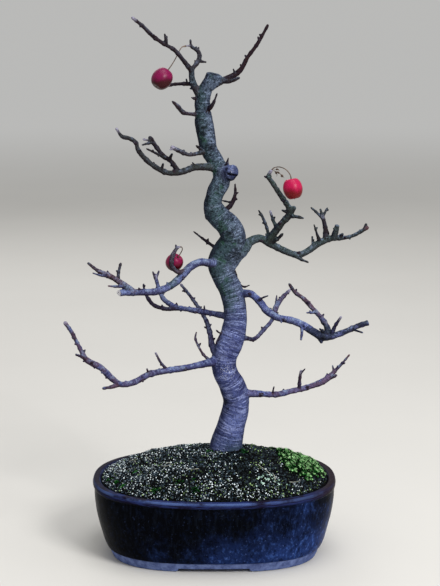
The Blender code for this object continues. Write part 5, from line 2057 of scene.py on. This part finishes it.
    def dress(self) -> None:
        """Builds and hands over the trunk and each group of limbs."""
        material = BarkFinish().make()
        wood_map = WoodMap()
        wood_map.add(self.trunk.route, 0, self.trunk.end, MOODS["trunk"])
        wood_map.add(self.top.route, self.top_shift, self.top.end, MOODS["trunk"])
        shapes = [self.trunk.shape(), self.top.shape()]
        for group, woods in self.groups.items():
            for wood in woods:
                if group == "trunk_twigs":
                    self.gather(wood, group, shapes, wood_map)
                elif self.on_trunk(wood):
                    stub = Wood(wood.name, wood.stations, wood.order)
                    stub.end = End.ROUND
                    shapes.append(stub.shape(self.collar, self.collar_end))
                    wood_map.add(stub.route, wood.order * self.grain_shift, End.ROUND, MOODS[group])
        self.grow("trunk", "trunk_twigs", shapes, wood_map, material)
        for group, woods in self.groups.items():
            if group != "trunk_twigs":
                shapes, wood_map = [], WoodMap()
                for wood in woods:
                    self.gather(wood, group, shapes, wood_map)
                self.grow(group, group, shapes, wood_map, material)


@dataclass
class Crabapple:
    """One crabapple with its stalk and its dried calyx, in mm."""

    place: str
    spur: Point
    way: tuple[Point, ...]
    middle: Point
    diameter: float
    tallness: float
    ripeness: float
    fullness: float = 0.9
    stalk_thickness: float = 1.0
    stalk_club: float = 1.9
    gap: float = 0.3

    def __post_init__(self) -> None:
        """Finds the directions up to the stalk and to one side."""
        self.core = Vector(self.middle)
        self.upright = (Vector(self.way[-1]) - self.core).normalized()
        self.side = self.upright.orthogonal().normalized()

    def section(self, steps: int) -> list[tuple[float, float, float]]:
        """Distance from the axis, height and turn at each step from the stalk down, for a unit diameter.

        Args:
            steps: How many steps there are.

        Returns:
            A row for each step.
        """
        result = []
        for step in range(steps + 1):
            turn = math.pi * step / steps
            height = self.tallness * math.cos(turn)
            height -= 0.28 * math.exp(-(turn / 0.36) ** 2)
            height += 0.14 * math.exp(-((math.pi - turn) / 0.34) ** 2)
            result.append((max(math.sin(turn), 0) ** self.fullness / 2, height / 2, turn))
        return result

    def spoke(self, turn: float) -> Vector:
        """Direction away from the fruit's axis, at a turn about it."""
        return self.side * math.cos(turn) + self.upright.cross(self.side) * math.sin(turn)

    def fruit(self, sides: int = 44, steps: int = 34) -> Shape:
        """Lofts the fruit, with faint ribs that gather at the calyx.

        Args:
            sides: How many corners go round it.
            steps: How many steps go down it.

        Returns:
            Its closed shape.
        """
        rings = []
        for radius, height, turn in reversed(self.section(steps)[1:-1]):
            ring = []
            for i in range(sides):
                angle = math.tau * i / sides
                rib = 1 + 0.014 * math.cos(5 * angle) * ease(turn, 1.2, 2.9)
                away = (self.spoke(angle) * radius * rib + self.upright * height) * self.diameter
                ring.append((self.core + away) * MM)
            rings.append(ring)
        return loft(rings)

    def calyx(self) -> list[Shape]:
        """Five shrivelled sepals and a tuft of dry threads in the dimple under the fruit.

        Returns:
            Their closed shapes.
        """
        draw = random.Random(self.place)
        upright = self.upright
        pit = self.core + upright * self.section(4)[-1][1] * self.diameter
        shapes = []
        for leaf in range(5):
            outward = self.spoke(math.tau * leaf / 5 + draw.uniform(-0.2, 0.2))
            stations = []
            for share, width in ((0, 0.7), (0.35, 0.85), (0.7, 0.6), (1, 0.2)):
                curl = outward * (0.4 + 1.3 * share * draw.uniform(0.8, 1.1))
                drop = upright * (0.3 - 0.7 * share * (1.2 - 0.6 * share))
                stations.append((*(pit + curl + drop), width))
            route = Route(stations, 0.35)
            flats = [heading.cross(upright).cross(heading).normalized() for heading in route.headings]
            shapes.append(route.tube(8, flats, 0.72))
        for thread in range(9):
            outward = self.spoke(math.tau * thread / 9 + draw.uniform(-0.3, 0.3))
            tip = pit + outward * draw.uniform(0.2, 0.6) - upright * draw.uniform(0.3, 0.7)
            shapes.append(Route([(*(pit + upright * 0.3), 0.3), (*tip, 0.22)], 0.7).tube(5))
        return shapes

    def stalk(self) -> Shape:
        """Lofts the thin stalk from its spur to the fruit's dimple, thicker at both ends.

        Returns:
            Its closed shape.
        """
        seat = Vector(self.spur)
        start = seat + (Vector(self.way[0]) - seat).normalized() * self.gap
        end = self.core + self.upright * (self.section(4)[0][1] * self.diameter + self.gap)
        stations = [(*start, self.stalk_club)]
        stations += [(*point, self.stalk_thickness) for point in self.way]
        stations += [(*end, self.stalk_thickness * 1.25)]
        route = Route(stations, 0.6)
        rings = []
        for i, point in enumerate(route.points):
            wobble = 1 + 0.1 * noise.noise(point.xyz / 1.4)
            rings.append(route.ring(i, 12, point.w * wobble))
        return loft(rings)

    def dress(self, skin: Material, dry: Material) -> None:
        """Hands over the fruit, its calyx and its stalk.

        Args:
            skin: The fruit's finish.
            dry: The stalk's and the calyx's finish.
        """
        mesh = joined([self.fruit()], "fruit")
        shades, blush_and_lit_sides = [], []
        for vert in mesh.vertices:
            away = (vert.co / MM - self.core) / self.diameter
            reach = away.dot(self.upright)
            # Darker in both dimples: the calyx scar below, painted shade in the stalk's hollow above.
            pit = ease((away - self.upright * reach).length, 0.16, 0.03)
            shades.append(pit * (0.8 if reach > 0 else 1))
            # Lighter towards the top and the right: sun blush together with painted light and shade.
            blush_and_lit_sides.append(ease(away.z - 0.15 * away.x, -0.42, 0.36))
        set_levels(mesh, "shade", np.array(shades))
        set_levels(mesh, "sun", np.array(blush_and_lit_sides))
        set_levels(mesh, "ripe", np.full(len(shades), self.ripeness))
        present("fruit_" + self.place, mesh, skin, ["crabapple_" + self.place])
        present("calyx_" + self.place, joined(self.calyx(), "calyx"), dry)
        stalk = joined([self.stalk()], "stalk")
        present("fine_stalk_" + self.place, stalk, dry, ["stalk_" + self.place])


@dataclass
class Litter:
    """Small finds on the mound: pale curled strands, a ring of lichen, and shreds at the right spur."""

    mound: Mound
    strands: tuple[tuple[Pair, ...], ...] = (
        ((-74, 21), (-71, 12), (-69, 3), (-65, -8)),
        ((44, -31), (47, -36), (51, -41), (56, -46)),
        ((58, -44), (60, -50), (60, -57)),
        ((-50, -28), (-46, -26), (-43, -30), (-46, -35), (-50, -33), (-50, -28)),
        ((-28, -40), (-22, -44), (-15, -43)),
        ((86, -44), (80, -50), (74, -51)),
        ((-88, 8), (-82, 2), (-80, -6)),
    )
    shreds: tuple[tuple[Station, ...], ...] = (
        ((57.5, -26, 391.6, 1.6), (59.5, -27, 390.2, 2.6), (61, -28, 388, 1.6), (60.4, -28, 386, 0.6)),
        ((59, -27, 391, 1.2), (63, -29, 389.5, 2.2), (66, -30, 386.5, 2.6), (68, -30, 385, 0.8)),
        ((58, -25, 391.8, 1.2), (61, -23, 392.5, 2), (63.5, -21, 391, 0.6)),
    )

    def lichen(self, draw: Draw) -> list[Shape]:
        """Small blue-green crusts near the front, right of the middle.

        Args:
            draw: Source of their places and sizes.

        Returns:
            The crusts.
        """
        shapes = []
        for _ in range(26):
            x = 53 + draw.gauss(0, 6.5)
            y = -56 + draw.gauss(0, 5.5)
            if not self.mound.bare(x, y, 2):
                continue
            crust = bmesh.new()
            place = Matrix.Translation(self.mound.spot(x, y, 0.9))
            size = Matrix.Diagonal((draw.uniform(1.4, 3.2), draw.uniform(1.2, 2.6), 1.1, 1))
            bmesh.ops.create_icosphere(crust, subdivisions=2, radius=0.5 * MM,
                                       matrix=place @ turned_to(self.mound.normal(x, y), draw, 0.4) @ size)
            for vert in crust.verts:
                vert.co += Vector((0, 0, noise.noise(vert.co / (0.9 * MM)) * 0.5 * MM))
            shapes.append(crust)
        return shapes

    def dress(self) -> None:
        """Hands over the strands, the lichen and the shreds."""
        draw = random.Random(SEED + 21)
        shapes = []
        for strand in self.strands:
            stations = []
            for i, (x, y) in enumerate(strand):
                lift = 1.2 + draw.uniform(0.4, 1.8) * (0 < i < len(strand) - 1)
                stations.append((x, y, self.mound.height(x, y) + lift, draw.uniform(0.35, 0.75)))
            shapes.append(Route(stations, 0.8).tube(8))
        straw = DryFinish("pale_strand", tone(96, 98, 92), tone(196, 200, 188))
        present("pale_strands", joined(shapes, "pale_strands"), straw.make())
        crust = DryFinish("lichen", tone(92, 130, 118), tone(196, 224, 210))
        present("lichen_crust", joined(self.lichen(draw), "lichen_crust"), crust.make())
        shapes = []
        for stations in self.shreds:
            route = Route(stations, 0.4)
            flats = []
            for i, (side, other) in enumerate(zip(route.sides, route.others)):
                flats.append((side + other * math.sin(i * 0.5)).normalized())
            shapes.append(route.tube(10, flats, 0.8))
        husk = DryFinish("withered_husk", tone(40, 30, 28), tone(104, 84, 70))
        present("withered_shreds", joined(shapes, "withered_shreds"), husk.make())


@dataclass
class Studio:
    """Plain pale floor, soft light, and the camera at the photograph's angle."""

    eye: Point = (0.0059, -1.4385, 0.5406)
    tilt: float = 79.2
    lens: float = 90.0
    sensor: float = 36.0
    floor_radius: float = 40.0
    aim: Point = (0, 0, 0.25)
    sky: Colour = tone(240, 240, 238)
    sky_strength: float = 0.56
    lamps: tuple[tuple[str, Point, float, float, Colour], ...] = (
        ("key", (1.25, -1.7, 1.7), 0.8, 48, (1, 0.99, 0.97)),
        ("top", (0.2, -0.3, 2.3), 1.3, 22, (0.97, 0.98, 1)),
        ("back", (-0.5, 1.8, 1.5), 1.2, 8, (1, 1, 1)),
    )

    def camera(self) -> None:
        """Sets up the camera."""
        data = bpy.data.cameras.new("camera")
        data.lens = self.lens
        data.sensor_width = self.sensor
        data.sensor_fit = "AUTO"
        data.clip_start = 0.05
        camera = linked("camera", data)
        camera.location = self.eye
        camera.rotation_euler = (math.radians(self.tilt), 0, 0)
        bpy.context.scene.camera = camera

    def lamp(self, name: str, place: Point, size: float, power: float, colour: Colour) -> None:
        """Hangs a soft square lamp that faces the tree.

        Args:
            name: Its name.
            place: Where, in metres.
            size: Its width, in metres.
            power: Its watts.
            colour: Its colour.
        """
        data = bpy.data.lights.new(name, "AREA")
        data.shape = "SQUARE"
        data.size = size
        data.energy = power
        data.color = colour
        lamp = linked(name, data)
        lamp.location = place
        lamp.rotation_euler = (Vector(place) - Vector(self.aim)).to_track_quat("Z", "Y").to_euler()

    def floor(self) -> None:
        """Lays the floor."""
        disc = bmesh.new()
        bmesh.ops.create_circle(disc, cap_ends=True, segments=96, radius=self.floor_radius)
        bmesh.ops.translate(disc, verts=disc.verts, vec=(0, 0, -0.0002))
        mesh = joined([disc], "studio_floor")
        mesh.materials.append(FloorFinish().make(self.sky, self.sky_strength))
        linked("studio_floor", mesh)

    def build(self) -> None:
        """Sets up the floor, the lights, the sky and the camera."""
        scene = bpy.context.scene
        scene.view_settings.view_transform = "Standard"
        world = bpy.data.worlds.new("soft sky")
        world.use_nodes = True
        sky = world.node_tree.nodes["Background"]
        sky.inputs["Color"].default_value = (*self.sky, 1)
        sky.inputs["Strength"].default_value = self.sky_strength
        scene.world = world
        self.floor()
        for lamp in self.lamps:
            self.lamp(*lamp)
        self.camera()


CRABAPPLES = (
    Crabapple("top", (-27, 9.5, 509.6), ((-31.5, 7.2, 508.2), (-36, 1, 500), (-40, -6.5, 493)),
              (-50, -13, 479), 19.7, 1.13, 0.12),
    Crabapple("right", (55.8, -25.3, 391.6),
              ((58.2, -26.2, 394.3), (63.5, -27.8, 395.2), (69.3, -30, 393), (73.6, -32, 387.8)),
              (76, -34, 375), 18.8, 1.17, 1),
    Crabapple("left", (-33.5, -23.8, 316.6),
              ((-31.6, -22.4, 316.2), (-31, -21.2, 313.6), (-32.6, -19.8, 310)),
              (-39, -16, 300), 17.2, 1.03, 0.3),
)


def dress_screens() -> None:
    """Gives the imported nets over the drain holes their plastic."""
    plastic = NetFinish().make()
    for name in ("drain_screen_left", "drain_screen_right"):
        for slot in frame["nodes"][name].material_slots:
            slot.material = plastic
        log.info("%s keeps its packed mesh", name)


def main() -> None:
    """Builds the studio, then the pot, the soil, the tree and the fruits, in that order."""
    logging.basicConfig(level=logging.INFO, format="%(message)s")
    Studio().build()
    Pot().dress()
    dress_screens()
    mound = Mound()
    SoilBed(mound).dress()
    Grit(mound).dress()
    Moss(mound).dress()
    Litter(mound).dress()
    Tree(mound).dress()
    skin = SkinFinish().make()
    dry = DryFinish("dry_stalk", tone(52, 40, 36), tone(116, 96, 84)).make()
    for fruit in CRABAPPLES:
        fruit.dress(skin, dry)


if __name__ == "__main__":
    main()
